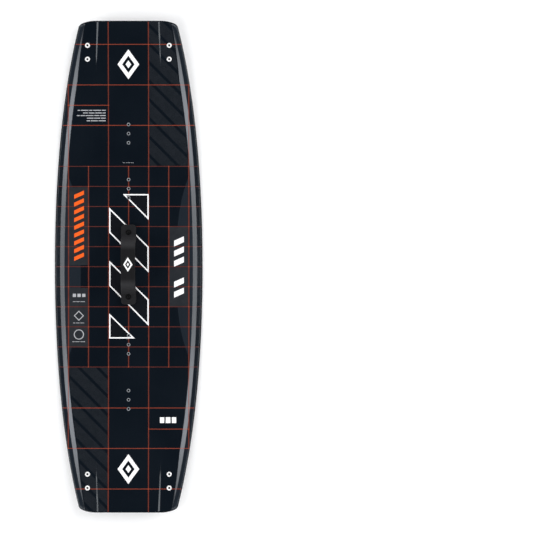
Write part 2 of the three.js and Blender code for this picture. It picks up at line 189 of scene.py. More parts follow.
# Carry handle
HANDLE_CENTRE_Y = 6
HANDLE_END_Y = 111
HANDLE_SCREW_Y = 89
HANDLE_TOP = 71
FOOT_CLEARANCE = 0.8
FOOT_THICKNESS = 11.5
GRIP_THICKNESS = 15
FOOT_WIDTH = 42
GRIP_WIDTH = 40
GRIP_CORNER = 4.6
GRIP_CROWN = 0.5
FOOT_CORNER = 9.5
FOOT_EDGE_RADIUS = 2.2
CORNER_STEPS = 7
FLAT_STEPS = 9
RECESS_RADIUS = 7.8
STRAP_THICKNESS = 1.6
HANDLE_STATIONS = 190
# Painted highlight on the handle's legs and feet: its distance from the middle where it starts, the
# distance it fades in over, the height over which it rises to full, and its least strength
LEG_HIGHLIGHT_FROM = 40
LEG_HIGHLIGHT_OVER = 14
LEG_HIGHLIGHT_RISE = 16
LEG_HIGHLIGHT_LEAST = 0.3
# Half of the handle's centreline: distance along the board, part of the rise to the grip.
HANDLE_RISE = [
    (HANDLE_END_Y, 0), (99, 0), (88, 0), (80, 0.004), (73.5, 0.11), (68, 0.34), (63.5, 0.6),
    (57.5, 0.83), (46, 0.965), (25, 1),
]

# Prints
GRID_PITCH = 55.6
GRID_LINE = 2.8
GRID_LINE_ACROSS = 2
PANEL_LIFT = 0.055
GRID_LIFT = 0.085
FILL_LIFT = 0.105
SHAPE_LIFT = 0.13
PRINT_DEPTH = 0.05
PRINT_INSET = 2.4
PRINT_STEP = 7
STRIPE = 11
STRIPE_PITCH = 51.4
STRIPE_START = 57.2
PANEL_SIDE_GAP = 2.5
PANEL_TIP_GAP = 3
SHAPE_LINE = 3.5
EMBLEM_Y = 560
RING_SIDES = 24
# The prints are cut finely between these distances from the centreline, where the ridges run,
# and their even cuts are moved a little off their outlines.
RIDGE_INNER = 74
RIDGE_OUTER = 100
PLANE_SHIFT = 0.013

# Stage, in metres and watts, and the lens in millimetres
FLOOR_HALF_SIZE = 7.5
FLOOR_GLOW = 0.12
SKY_STOPS = ((0.0, 1.0), (0.12, 0.84), (0.55, 0.62), (0.84, 0.30), (0.95, 0.03), (1.0, 0.012))
STRIPS = {"strip_right": 1.12, "strip_left": -1.40}
STRIP_HEIGHT = 4
STRIP_SIZE = (0.34, 2.6)
STRIP_POWER = 13
STRIP_COLOUR = (0.90, 0.95, 1.0)
BOXES = {
    "box_right": (5.5, 1.5, 4.2), "box_left": (-5.5, -1.5, 4.2),
    "box_front": (1.0, 6.0, 4.2), "box_back": (-1.0, -6.0, 4.2),
}
BOX_SIZE = (3.0, 3.0)
BOX_POWER = 170
CAMERA_PLACE = (0.3822, 0.0005, 12.0)
SENSOR_WIDTH = 36
LENS = 291.9


# Surfaces of the board

def unit(value):
    """A value kept between 0 and 1."""
    return np.clip(value, 0, 1)


def half_width(y):
    return HALF_WIDTH - SIDECUT_SQUARE * y ** 2 - SIDECUT_FOURTH * y ** 4


def tip_edge(x):
    """Distance from the middle to the tip's edge: square across, then curving to the corner."""
    corner = half_width(CORNER_Y)
    part = unit((np.abs(x) - TIP_FLAT_X) / (corner - TIP_FLAT_X))
    curve = TIP_CURVE_SHARE * part ** TIP_CURVE_POWER
    curve = curve + (1 - TIP_CURVE_SHARE) * part ** TIP_CORNER_POWER
    return HALF_LENGTH - curve * (HALF_LENGTH - CORNER_Y)


def from_middle_to_tip(middle, tip, y):
    return middle + (tip - middle) * (y / HALF_LENGTH) ** 2


def rail_bottom(y):
    return BASE_CLEARANCE + ROCKER * (y / HALF_LENGTH) ** 2


def base_height(x, y):
    concave = from_middle_to_tip(*CONCAVE, y)
    return rail_bottom(y) + concave * (1 - (x / half_width(y)) ** 2)


def deck_levels(y):
    """Height of the deck along the centreline and along the rail."""
    middle = base_height(0, y) + from_middle_to_tip(*THICKNESS, y)
    return middle, rail_bottom(y) + from_middle_to_tip(*RAIL_HEIGHT, y)


def deck_profile(x, y, inner, outer, bevel):
    """A shallow crown, a bevel of some height between two lines, then a slope to the rail."""
    across = np.abs(x)
    middle, rail = deck_levels(y)
    crown = CROWN_SHARE * (middle - rail)
    level = middle - crown * np.minimum(1, across / inner) ** 2
    level = level - bevel * unit((across - inner) / (outer - inner))
    outward = np.maximum(0, (across - outer) / (half_width(y) - outer))
    return level - (middle - rail - crown - bevel) * outward


def deck_height(x, y):
    """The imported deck."""
    edge = half_width(y)
    middle, rail = deck_levels(y)
    return deck_profile(x, y, edge - BEVEL_INNER, edge - BEVEL_OUTER, BEVEL_SHARE * (middle - rail))


def bevel_part(y):
    """0 along most of the board, rising to 1 near the tips, where the bevel is at its narrowest."""
    return unit((np.abs(y) - BEVEL_NARROWS_FROM) / BEVEL_NARROWS_OVER)


def bevel_lines(y):
    """Where the bevel starts and ends across the board."""
    edge, part = half_width(y), bevel_part(y)
    inner = edge - BEVEL_INNER + BEVEL_INNER_SHIFT * part
    return inner, edge - BEVEL_OUTER + BEVEL_OUTER_SHIFT * part


def lens_line(y):
    """Inner edge of the facet along a rail, which runs out into the bevel towards the tips."""
    line = LENS_X + LENS_SPREAD * (np.abs(y) / LENS_REACH) ** 3
    return np.minimum(line, bevel_lines(y)[0])


def ridge_line(y):
    return RIDGE_X + RIDGE_SPREAD * np.clip(HALF_LENGTH - np.abs(y), 0, HALF_LENGTH - RIDGE_START)


def ridge_part(y):
    """1 at the tip and 0 where the raised middle has run out."""
    return unit((np.abs(y) - RIDGE_START) / (HALF_LENGTH - RIDGE_START))


def ridge_width(y):
    return RIDGE_START_WIDTH + RIDGE_WIDTH * ridge_part(y) ** RIDGE_WIDENING


def deck_relief(x, y):
    across = np.abs(x)
    lens = lens_line(y)
    raised = np.maximum(bevel_lines(y)[0] - np.maximum(across, lens), 0)
    fade = np.minimum(across / lens, 1) ** 2
    width = ridge_width(y)
    ridge = unit((ridge_line(y) + width - across) / width)
    ridge = ridge * np.minimum(1, RIDGE_RISE * ridge_part(y))
    return LENS_SLOPE * raised * fade + RIDGE_SLOPE * width * ridge


def deck_surface(x, y):
    """The deck as it looks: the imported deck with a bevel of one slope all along, and its relief."""
    inner, outer = bevel_lines(y)
    bevel = BEVEL_SLOPE * (1 - BEVEL_FADE * bevel_part(y) ** 3) * (outer - inner)
    return deck_profile(x, y, inner, outer, bevel) + deck_relief(x, y)


def channel_line(y):
    return CHANNEL_X - CHANNEL_TAPER * unit(np.abs(y) / CHANNEL_REACH) ** 2


def tip_channel_line(y):
    inboard = np.clip(HALF_LENGTH - np.abs(y), 0, TIP_CHANNEL_LENGTH)
    return TIP_CHANNEL_X + TIP_CHANNEL_SPREAD * inboard / TIP_CHANNEL_LENGTH


def base_surface(x, y):
    """The base stands proud outside the long channels and between the ones at the tips."""
    across = np.abs(x)
    outside = unit((across - channel_line(y)) / CHANNEL_WALL + 0.5)
    fade = unit((CHANNEL_REACH + CHANNEL_FADE - np.abs(y)) / CHANNEL_FADE)
    between = unit((tip_channel_line(y) - across) / CHANNEL_WALL + 0.5)
    near_tip = np.abs(y) - (HALF_LENGTH - TIP_CHANNEL_LENGTH)
    near_tip = unit(near_tip / TIP_CHANNEL_FADE)
    return base_height(x, y) - CHANNEL_DEPTH * (outside * fade + between * near_tip)


def edge_inset(radius, depth):
    """How far a rounded edge has come in at a depth below the surface."""
    rest = max(0.0, radius - depth)
    return radius - math.sqrt(radius ** 2 - rest ** 2)


# Meshes

def linked(name, data):
    thing = bpy.data.objects.new(name, data)
    bpy.context.collection.objects.link(thing)
    return thing


def mesh_of(name, bm):
    mesh = bpy.data.meshes.new(name)
    bm.to_mesh(mesh)
    bm.free()
    return mesh


def fill(bm, points, faces):
    verts = [bm.verts.new(point) for point in points]
    for face in faces:
        bm.faces.new([verts[i] for i in face])


def shade(bm, sharp):
    for face in bm.faces:
        face.smooth = True
    for edge in bm.edges:
        edge.smooth = edge.calc_face_angle(0) < math.radians(sharp)


def piece_from_bmesh(name, bm, material, slot, sharp=SHARP_ANGLE):
    bmesh.ops.remove_doubles(bm, verts=bm.verts, dist=MERGE_DISTANCE)
    bmesh.ops.dissolve_degenerate(bm, edges=bm.edges, dist=DEGENERATE_DISTANCE)
    bmesh.ops.recalc_face_normals(bm, faces=bm.faces)
    shade(bm, sharp)
    piece = linked(name, mesh_of(name, bm))
    piece.data.materials.append(material)
    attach(piece, "root")
    return piece


def stand_in(node, points, faces, material, slot, sharp=SHARP_ANGLE):
    """A finer piece in a packed one's place, from points in millimetres."""
    bm = bmesh.new()
    fill(bm, (np.asarray(points) * MM).tolist(), faces)
    piece = piece_from_bmesh(node + "_fine", bm, material, slot, sharp)
    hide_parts(node)
    return piece


def slab_faces(rows, cols):
    """Faces of a closed slab between two grids, the upper grid's points first."""
    index = np.arange(rows * cols).reshape(rows, cols)
    under = rows * cols
    faces = []
    for a in index[:-1, :-1].ravel().tolist():
        quad = [a, a + 1, a + cols + 1, a + cols]
        faces += [quad, [under + i for i in reversed(quad)]]
    rim = [*index[0], *index[1:, -1], *index[-1, -2::-1], *index[-2:0:-1, 0]]
    for a, b in zip(rim, rim[1:] + rim[:1]):
        faces.append([b, a, under + a, under + b])
    return faces


def lofted(node, rings, material, slot, sharp=SHARP_ANGLE):
    """A stand-in along rings of points, with a cap at each end."""
    points = np.array(rings)
    rows, count = points.shape[:2]
    last = (rows - 1) * count
    faces = []
    for start in range(0, last, count):
        for i in range(count):
            a, b = start + i, start + (i + 1) % count
            faces.append([a, b, b + count, a + count])
    faces += [list(range(count))[::-1], [last + i for i in range(count)]]
    return stand_in(node, points.reshape(-1, 3), faces, material, slot, sharp)


def board_grid(columns_at, inset):
    """x and y of a grid over the board's plan, whose columns keep to lines that vary with y."""
    parts = np.linspace(-1, 1, BOARD_ROWS)[:, None]
    y = parts * (CORNER_Y - inset)
    y = np.repeat(y, columns_at(y[:, 0], inset).shape[1], axis=1)
    for _ in range(SETTLING_PASSES):
        columns = [columns_at(y[:, col], inset)[:, col] for col in range(y.shape[1])]
        right = np.stack(columns, axis=1)
        y = parts * (tip_edge(right) - inset)
    x = np.concatenate([-right[:, :0:-1], right], axis=1)
    return x, np.concatenate([y[:, :0:-1], y], axis=1)


def columns_along(stops, last):
    """Columns along lines that vary with y. Each stop is a line and the number of columns from it
    up to the next stop's line."""
    lines = [line for line, _count in stops[1:]] + [last]
    columns = [low + (high - low) * i / count
               for (low, count), high in zip(stops, lines) for i in range(count)]
    return np.stack(columns + [last], axis=1)


def deck_columns(y, inset):
    """Columns from the centreline to the edge, close together at the ridge and at each bend."""
    inner, outer = bevel_lines(y)
    ridge = ridge_line(y)
    foot = ridge + ridge_width(y)
    lens = np.minimum(lens_line(y), inner - 3)
    return columns_along([
        (0 * y, 9), (ridge - 0.3, 1), (ridge, 1), (ridge + 0.2, 1), (foot - 0.2, 1), (foot, 1),
        (foot + 0.3, 6), (lens - 1, 1), (lens, 1), (lens + 1, 1), (lens + 1.4, 4),
        (inner - 0.8, 1), (inner, 1), (inner + 0.8, 1), (outer - 0.8, 1), (outer, 1),
        (outer + 0.8, 1), (outer + 1.6, 4),
    ], half_width(y) - inset)


def base_columns(y, inset):
    """Columns from the centreline to the edge, close together at the walls of the channels."""
    wall = CHANNEL_WALL / 2
    tip_line = tip_channel_line(y)
    line = np.minimum(channel_line(y), half_width(y) - 8)
    return columns_along([
        (0 * y, 9), (tip_line - wall, 2), (tip_line + wall, 6), (line - wall, 2), (line + wall, 5),
    ], half_width(y) - inset)


def layer(node, columns_at, surface, high, low, radius, material, slot):
    """A layer between two distances from a surface, with its outline on the board's round edge."""
    grids = []
    for distance in (high, low):
        x, y = board_grid(columns_at, edge_inset(radius, abs(distance)))
        grids.append(np.stack([x, y, surface(x, y) + distance], axis=2))
    points = np.concatenate([grid.reshape(-1, 3) for grid in grids])
    return stand_in(node, points, slab_faces(*grids[0].shape[:2]), material, slot)


def stand_on_deck(site, level=0.0):
    """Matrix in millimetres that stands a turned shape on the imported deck, square to it."""
    x, y = site
    across = (deck_height(x + 1, y) - deck_height(x - 1, y)) / 2
    along = (deck_height(x, y + 1) - deck_height(x, y - 1)) / 2
    normal = Vector((-across, -along, 1)).normalized()
    foot = Vector((x, y, float(deck_height(x, y)))) + normal * level
    upright = Vector((0, 0, 1)).rotation_difference(normal)
    return Matrix.Translation(foot) @ upright.to_matrix().to_4x4()


def hexagon(angle):
    """Radius of a hexagon of corner radius 1 in a direction."""
    aside = (angle + math.pi / 6) % (math.pi / 3) - math.pi / 6
    return math.cos(math.pi / 6) / math.cos(abs(abs(aside) - math.pi / 6))


def turned_mesh(profile, matrix, sides=TURNED_SIDES):
    """Points and faces of a turned shape. The profile lists (radius, height) round a closed loop,
    or from axis to axis; a third value gives that ring six corners."""
    points, rings, faces = [], [], []
    for radius, height, *corners in profile:
        if radius == 0:
            rings.append([len(points)])
            points.append(matrix @ Vector((0, 0, height)))
            continue
        rings.append(list(range(len(points), len(points) + sides)))
        for i in range(sides):
            angle = 2 * math.pi * i / sides
            reach = radius * (hexagon(angle) if corners else 1)
            place = Vector((reach * math.cos(angle), reach * math.sin(angle), height))
            points.append(matrix @ place)
    on_axis = len(rings[0]) == 1
    for ring, after in zip(rings, rings[1:] if on_axis else rings[1:] + rings[:1]):
        for i in range(sides):
            j = (i + 1) % sides
            quad = [ring[i % len(ring)], ring[j % len(ring)]]
            quad += [after[j % len(after)], after[i % len(after)]]
            faces.append(list(dict.fromkeys(quad)))
    return points, faces


def paint_mask(piece, name, value_at):
    """Stores a value for each point of a piece, from its place in millimetres."""
    mesh = piece.data
    points = np.empty(len(mesh.vertices) * 3)
    mesh.vertices.foreach_get("co", points)
    points = points.reshape(-1, 3) * METRE
    attribute = mesh.attributes.new(name, "FLOAT", "POINT")
    attribute.data.foreach_set("value", np.asarray(value_at(*points.T), dtype=np.float32))


def turned_piece(node, profile, site, level, metal, slot, bore=0.0):
    """A turned piece; its material sees the points within the bore's radius as shaded."""
    matrix = stand_on_deck(site, level)
    points, faces = turned_mesh(profile, matrix)
    piece = stand_in(node, points, faces, metals[metal], slot, TURNED_SHARP_ANGLE)
    x0, y0, _z0 = matrix.translation
    paint_mask(piece, "shade", lambda x, y, _z: np.hypot(x - x0, y - y0) < bore)


def cut_away(piece, shapes, sharp=SHARP_ANGLE):
    """Subtracts turned shapes from a piece and keeps the result as its mesh."""
    bm = bmesh.new()
    for points, faces in shapes:
        fill(bm, [Vector(point) * MM for point in points], faces)
    bmesh.ops.recalc_face_normals(bm, faces=bm.faces)
    cutter = linked("cutter", mesh_of("cutter", bm))
    modifier = piece.modifiers.new("cut", "BOOLEAN")
    modifier.operation = "DIFFERENCE"
    modifier.solver = "EXACT"
    modifier.object = cutter
    evaluated = piece.evaluated_get(bpy.context.evaluated_depsgraph_get())
    result = bpy.data.meshes.new_from_object(evaluated)
    piece.modifiers.clear()
    used = [piece.data, cutter.data]
    piece.data = result
    result.name = used[0].name + "_cut"
    bpy.data.objects.remove(cutter)
    for mesh in used:
        bpy.data.meshes.remove(mesh)
    bm = bmesh.new()
    bm.from_mesh(result)
    bmesh.ops.remove_doubles(bm, verts=bm.verts, dist=MERGE_DISTANCE)
    shade(bm, sharp)
    bm.to_mesh(result)
    bm.free()


# Materials

class Finish:
    """A material whose nodes are added one call at a time."""

    def __init__(self, name, roughness=0.4, metallic=0.0, specular=0.5):
        self.material = bpy.data.materials.new(name)
        self.material.use_nodes = True
        self.tree = self.material.node_tree
        self.shader = self.tree.nodes["Principled BSDF"]
        self.feed(self.shader, {"Roughness": roughness, "Metallic": metallic,
                                "Specular IOR Level": specular})
        self.place = self.tree.nodes.new("ShaderNodeTexCoord").outputs["Object"]

    def feed(self, node, inputs):
        """Sets a node's inputs to numbers, or links them to other nodes' outputs."""
        for socket, value in inputs.items():
            if isinstance(value, bpy.types.NodeSocket):
                self.tree.links.new(value, node.inputs[socket])
            else:
                node.inputs[socket].default_value = value
        return node

    def add(self, kind, inputs):
        return self.feed(self.tree.nodes.new("ShaderNode" + kind), inputs)

    def noise(self, scale, detail=3.0, vector=None):
        inputs = {"Vector": vector or self.place, "Scale": scale, "Detail": detail}
        return self.add("TexNoise", inputs).outputs["Fac"]

    def clouds(self, scale, detail, low=0.3, high=0.7):
        """Noise with its middle levels spread out from 0 to 1."""
        return self.rescale(self.noise(scale, detail), 0, 1, low, high)

    def grain(self, detail, scale):
        """Noise that runs one way, with a scale for each axis."""
        stretched = self.add("Mapping", {"Vector": self.place, "Scale": scale})
        return self.noise(1, detail, stretched.outputs["Vector"])

    def cells(self, scale):
        return self.add("TexVoronoi", {"Vector": self.place, "Scale": scale}).outputs["Distance"]

    def waves(self, scale, direction, distortion=0.0):
        inputs = {"Vector": self.place, "Scale": scale, "Distortion": distortion}
        node = self.add("TexWave", inputs)
        node.bands_direction = direction
        return node.outputs["Fac"]

    def mask(self, name):
        node = self.add("Attribute", {})
        node.attribute_name = name
        return node.outputs["Fac"]

    def rescale(self, value, low, high, start=0.0, end=1.0):
        inputs = {"Value": value, "From Min": start, "From Max": end, "To Min": low, "To Max": high}
        return self.add("MapRange", inputs).outputs["Result"]

    def multiply(self, first, second):
        node = self.add("Math", {0: first, 1: second})
        node.operation = "MULTIPLY"
        return node.outputs["Value"]

    def blend(self, factor, *colours):
        """A colour between two, each a tuple or another node's output."""
        node = self.add("Mix", {})
        node.data_type = "RGBA"
        first, second = [(*c, 1) if isinstance(c, tuple) else c for c in colours]
        return self.feed(node, {0: factor, 6: first, 7: second}).outputs[2]

    def made(self, colour, roughness, bump):
        """The material, given its colour, what rescale makes its roughness from, and its bump's
        height, distance and strength."""
        height, distance, strength = bump
        inputs = {"Height": height, "Distance": distance, "Strength": strength}
        normal = self.add("Bump", inputs).outputs["Normal"]
        self.feed(self.shader, {"Base Color": colour, "Roughness": self.rescale(*roughness),
                                "Normal": normal})
        return self.material


def topsheet_finish():
    """Navy-black sheet with a satin gloss and faint streaks along the board, with a painted highlight
    on the facets and on the rim towards the tips, and a painted reflection on the bevels.
    """
    finish = Finish("topsheet_navy")
    ground = finish.blend(finish.clouds(7, 4, 0.35, 0.65), (0.003, 0.0054, 0.009),
                          (0.0044, 0.0072, 0.0112))
    # Painted highlight on the facets and on the rim towards the tips
    facet = finish.blend(finish.mask("facet"), ground, (0.0118, 0.0165, 0.023))
    # Painted reflection of the strip lights on the bevels
    colour = finish.blend(finish.mask("painted_reflection"), facet, (0.098, 0.104, 0.118))
    return finish.made(colour, (finish.grain(5, (420, 9, 60)), 0.09, 0.14, 0.25, 0.75),
                       (finish.grain(4, (260, 30, 120)), 0.00004, 0.35))


def print_finish(name, dark, light):
    """Ink under a clear sheet: an even colour with slight mottling and fine grain."""
    finish = Finish(name)
    return finish.made(finish.blend(finish.clouds(60, 6), dark, light),
                       (finish.noise(900, 2), 0.1, 0.18), (finish.noise(1400, 2), 0.00002, 0.2))


def woven_finish(name, scale, distortion, tones, gloss, bump):
    """Fibres that cross at a pitch: bundles of glass in resin, or yarns of webbing."""
    finish = Finish(name)
    weave = finish.multiply(*[finish.waves(scale, axis, distortion) for axis in "XY"])
    return finish.made(finish.blend(weave, *tones), (weave, *gloss), (weave, *bump))


def wood_finish():
    """Pale light timber in strips, with grain along the board."""
    finish = Finish("core_timber")
    grain = finish.grain(8, (160, 4, 160))
    strips = finish.rescale(finish.waves(8.5, "X"), 0, 0.35)
    timber = finish.blend(grain, (0.62, 0.42, 0.23), (0.46, 0.28, 0.13))
    return finish.made(finish.blend(strips, timber, (0.66, 0.47, 0.27)), (grain, 0.55, 0.85),
                       (grain, 0.0002, 0.5))


def base_finish():
    """Satin black base with fine lines running along the board."""
    finish = Finish("base_black")
    lines = finish.grain(6, (900, 3, 100))
    tone = finish.multiply(lines, finish.grain(3, (60, 1.5, 10)))
    colour = finish.blend(tone, (0.008, 0.008, 0.0095), (0.02, 0.02, 0.023))
    return finish.made(colour, (lines, 0.26, 0.42, 0.25, 0.75), (lines, 0.00005, 0.5))


def rail_finish():
    """Black plastic rail, milled and polished along its length."""
    finish = Finish("rail_black")
    grain = finish.grain(4, (700, 25, 900))
    colour = finish.blend(grain, (0.0055, 0.0058, 0.0065), (0.013, 0.0135, 0.015))
    return finish.made(colour, (grain, 0.28, 0.46, 0.25, 0.75), (grain, 0.00006, 0.5))


def fin_finish():
    """Black moulded plastic with a fine spark-eroded grain."""
    finish = Finish("fin_black")
    colour = finish.blend(finish.clouds(90, 4), (0.0065, 0.0068, 0.0075), (0.0125, 0.013, 0.0142))
    return finish.made(colour, (finish.noise(300, 3), 0.32, 0.48),
                       (finish.cells(1500), 0.00005, 0.5))


def rubber_finish():
    """Soft dark grey grip rubber, pebbled, with a painted highlight on the rising legs and feet and
    painted shade in the screw recesses.
    """
    finish = Finish("handle_rubber_grey", specular=0.1)
    mottle = finish.noise(260, 4)
    ground = finish.blend(mottle, (0.0046, 0.0046, 0.0054), (0.0092, 0.0092, 0.0104))
    # Painted highlight on the legs and feet, then painted shade in the screw recesses
    leg_highlight = finish.blend(finish.mask("leg_highlight"), ground, (0.024, 0.024, 0.026))
    colour = finish.blend(finish.mask("shade"), leg_highlight, (0.003, 0.003, 0.0035))
    return finish.made(colour, (mottle, 0.55, 0.78), (finish.cells(950), 0.00016, 0.8))


def metal_finish(name, dark, light, metallic, low, high, specular=0.5):
    """Turned metal with fine marks and a little handling wear, with painted shade, darker and less
    shiny, inside its socket or bore.
    """
    finish = Finish(name, metallic=metallic, specular=specular)
    marks = finish.noise(2600, 3)
    metal = finish.blend(finish.noise(450, 4), dark, light)
    # Painted shade inside the socket or bore: a darker colour and a lower specular level
    shade_mask = finish.mask("shade")
    dull = finish.rescale(shade_mask, specular, 0.05)
    finish.feed(finish.shader, {"Specular IOR Level": dull})
    colour = finish.blend(shade_mask, metal, (0.006, 0.006, 0.006))
    return finish.made(colour, (marks, low, high), (marks, 0.00002, 0.45))


def brass_finish():
    """Turned brass with a dull bloom."""
    finish = Finish("brass_turned", metallic=1.0)
    bloom = finish.noise(700, 4)
    colour = finish.blend(bloom, (0.42, 0.28, 0.1), (0.62, 0.44, 0.18))
    return finish.made(colour, (bloom, 0.28, 0.5), (bloom, 0.00003, 0.4))


# Each ink's material slot and its darker and lighter tone
INKS = {
    "orange": ("print_orange", (0.125, 0.026, 0.016), (0.165, 0.034, 0.02)),
    "orange_tip": ("print_orange", (0.2, 0.04, 0.022), (0.26, 0.05, 0.026)),
    "orange_dim": ("print_orange", (0.085, 0.021, 0.016), (0.115, 0.027, 0.02)),
    "orange_bright": ("print_orange", (0.34, 0.056, 0.022), (0.44, 0.074, 0.028)),
    "orange_bars": ("print_orange", (0.8, 0.11, 0.014), (0.92, 0.135, 0.02)),
    "white": ("print_white", (0.91, 0.91, 0.91), (0.96, 0.96, 0.96)),
    "white_fine": ("print_white", (0.38, 0.39, 0.41), (0.46, 0.47, 0.49)),
    "grey": ("print_grey", (0.0175, 0.02, 0.024), (0.0225, 0.025, 0.029)),
    "hatch": ("print_grey", (0.0088, 0.0114, 0.0152), (0.0122, 0.015, 0.0192)),
    "fill": ("print_grey", (0.0052, 0.006, 0.0082), (0.0066, 0.0076, 0.01)),
    "base_white": ("print_white", (0.765, 0.775, 0.785), (0.785, 0.795, 0.805)),
}
inks = {name: (print_finish("ink_" + name, *tones), slot) for name, (slot, *tones) in INKS.items()}
laminate_material = woven_finish("laminate_glass", 105, 0.6, ((0.018, 0.019, 0.018),
                                 (0.04, 0.042, 0.038)), (0.35, 0.55), (0.00006, 0.6))
webbing_material = woven_finish("webbing_black", 210, 0.4, ((0.006, 0.006, 0.0065),
                                (0.022, 0.022, 0.024)), (0.75, 0.95), (0.0002, 0.9))
rail_material = rail_finish()
fin_material = fin_finish()
rubber_material = rubber_finish()

# Each metal's tones, metallic part, least and most roughness, and specular level
METALS = {
    "turned": ((0.52, 0.53, 0.55), (0.74, 0.75, 0.77), 0.85, 0.26, 0.44),
    "insert": ((0.27, 0.29, 0.31), (0.36, 0.38, 0.41), 0.3, 0.3, 0.45),
    "silver": ((0.84, 0.84, 0.83), (0.95, 0.94, 0.93), 0.2, 0.34, 0.5),
    "black_oxide": ((0.004, 0.004, 0.0045), (0.008, 0.008, 0.009), 0.1, 0.35, 0.5, 0.12),
}
metals = {name: metal_finish("steel_" + name, *values) for name, values in METALS.items()}


# Sites of the fasteners

ENDS = {"front": 1, "back": -1}
SIDES = {"left": -1, "right": 1}


def named(prefix):
    return sorted(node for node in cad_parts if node.startswith(prefix))


def sites(prefix):
    """Middles in plan of small nodes. Their slant moves them less than the gap round them."""
    boxes = {node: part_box(node) for node in named(prefix)}
    return {node: [(a + b) / 2 * METRE for a, b in zip(*box)][:2] for node, box in boxes.items()}


def holes(places, radius, low, high):
    """Round cutters from one level on the deck to another."""
    profile = [(0, low), (radius, low), (radius, high), (0, high)]
    return [turned_mesh(profile, stand_on_deck(site), HOLE_SIDES) for site in places.values()]


foot_inserts = sites("foot_insert_")
fin_washers = sites("fin_washer_")
handle_sites = {end: (0.0, HANDLE_CENTRE_Y + sign * HANDLE_SCREW_Y) for end, sign in ENDS.items()}
deck_holes = holes(foot_inserts, INSERT_HOLE_RADIUS, *DECK_CUT)
deck_holes += holes(handle_sites, INSERT_HOLE_RADIUS, *DECK_CUT)
deck_holes += holes(fin_washers, SCREW_HOLE_RADIUS, *DECK_CUT)
base_holes = holes(fin_washers, SCREW_HOLE_RADIUS, *BASE_CUT)


# Board

def painted_highlight_mask(x, y, _z):
    """Painted highlight: 1 on the lens-shaped facets, and nearly 1 on the rim outside the bevel
    towards the tips.
    """
    across = np.abs(x)
    inner, outer = bevel_lines(y)
    lens = lens_line(y)
    inside = unit((across - lens) / 2 + 0.5)
    outside = unit(inner - across + 1)
    reach = unit((inner - lens) / FACET_HIGHLIGHT_FADE)
    near_tip = unit((np.abs(y) - RIM_HIGHLIGHT_FROM) / RIM_HIGHLIGHT_OVER)
    return inside * outside * reach + RIM_HIGHLIGHT_STRENGTH * unit(across - outer) * near_tip


def painted_reflection_mask(x, y, _z):
    """Painted reflection: 1 on the bevel beside the outer foot inserts, fading along it."""
    inner, outer = bevel_lines(y)
    across = np.abs(x)
    reflection_strength = np.exp(-((np.abs(y) - PAINTED_REFLECTION_Y) / PAINTED_REFLECTION_REACH) ** 2)
    return unit(across - inner + 0.5) * unit(outer + 0.5 - across) * reflection_strength


def build_layers():
    """The sheets and laminates, as distances from the deck or the base."""
    lower = SHEET + BOND_LINE
    deepest = lower + LAMINATE
    deck = (deck_columns, deck_surface, DECK_EDGE_RADIUS, deck_holes)
    base = (base_columns, base_surface, BASE_EDGE_RADIUS, base_holes)
    for node, (columns_at, surface, radius, shapes), high, low, material, slot in (
            ("topsheet", deck, 0, -SHEET, topsheet_finish(), "topsheet"),
            ("top_laminate", deck, -lower, -deepest, laminate_material, "laminate"),
            ("base_laminate", base, deepest, lower, laminate_material, "laminate"),
            ("base_sheet", base, SHEET, 0, base_finish(), "base_sheet")):
        piece = layer(node, columns_at, surface, high, low, radius, material, slot)
        cut_away(piece, shapes)
        if node == "topsheet":
            # Painted highlight on the facets and rim, and painted reflection on the bevels
            paint_mask(piece, "facet", painted_highlight_mask)
            paint_mask(piece, "painted_reflection", painted_reflection_mask)


def rail_profile():
    """Section of a rail from its inner wall round the outside, as (distance in from the edge,
    distance from a surface, which surface)."""
    depths = [SKIN, 0.5 * (SKIN + DECK_EDGE_RADIUS), DECK_EDGE_RADIUS, DECK_EDGE_RADIUS + 0.6]
    upper = [(edge_inset(DECK_EDGE_RADIUS, depth), depth, "deck") for depth in depths]
    lower = [(0, SKIN + 0.8, "base"), (edge_inset(BASE_EDGE_RADIUS, SKIN), SKIN, "base")]
    return [(RAIL_WIDTH, SKIN, "deck"), (4, SKIN, "deck"), *upper, *lower, (4, SKIN, "base"),
            (RAIL_WIDTH, SKIN, "base")]


def build_rail(name, line_at):
    """A rail whose section follows the lines at each distance in from the edge."""
    lines = []
    for inward, distance, side in rail_profile():
        x, y = line_at(inward)
        deck = side == "deck"
        z = deck_surface(x, y) - distance if deck else base_surface(x, y) + distance
        lines.append(np.stack([x, y, z], axis=1))
    lofted(name, np.stack(lines, axis=1), rail_material, "rail")


def build_rails():
    parts = np.linspace(-1, 1, 2 * BOARD_ROWS - 1)
    tip_reach = half_width(CORNER_Y) - RAIL_WIDTH - FIT_GAP

    def side_line(inward, sign):
        x = half_width(parts * CORNER_Y) - inward
        for _ in range(SETTLING_PASSES):
            y = parts * tip_edge(x)
            x = half_width(y) - inward
        return sign * x, y

    def tip_line(inward, sign):
        x = np.linspace(-tip_reach, tip_reach, TIP_RAIL_STATIONS)
        return x, sign * (tip_edge(x) - inward)

    for name, sign in SIDES.items():
        build_rail(f"rail_{name}", lambda inward: side_line(inward, sign))
    for name, sign in ENDS.items():
        build_rail(f"rail_tip_{name}", lambda inward: tip_line(inward, sign))


# Fasteners

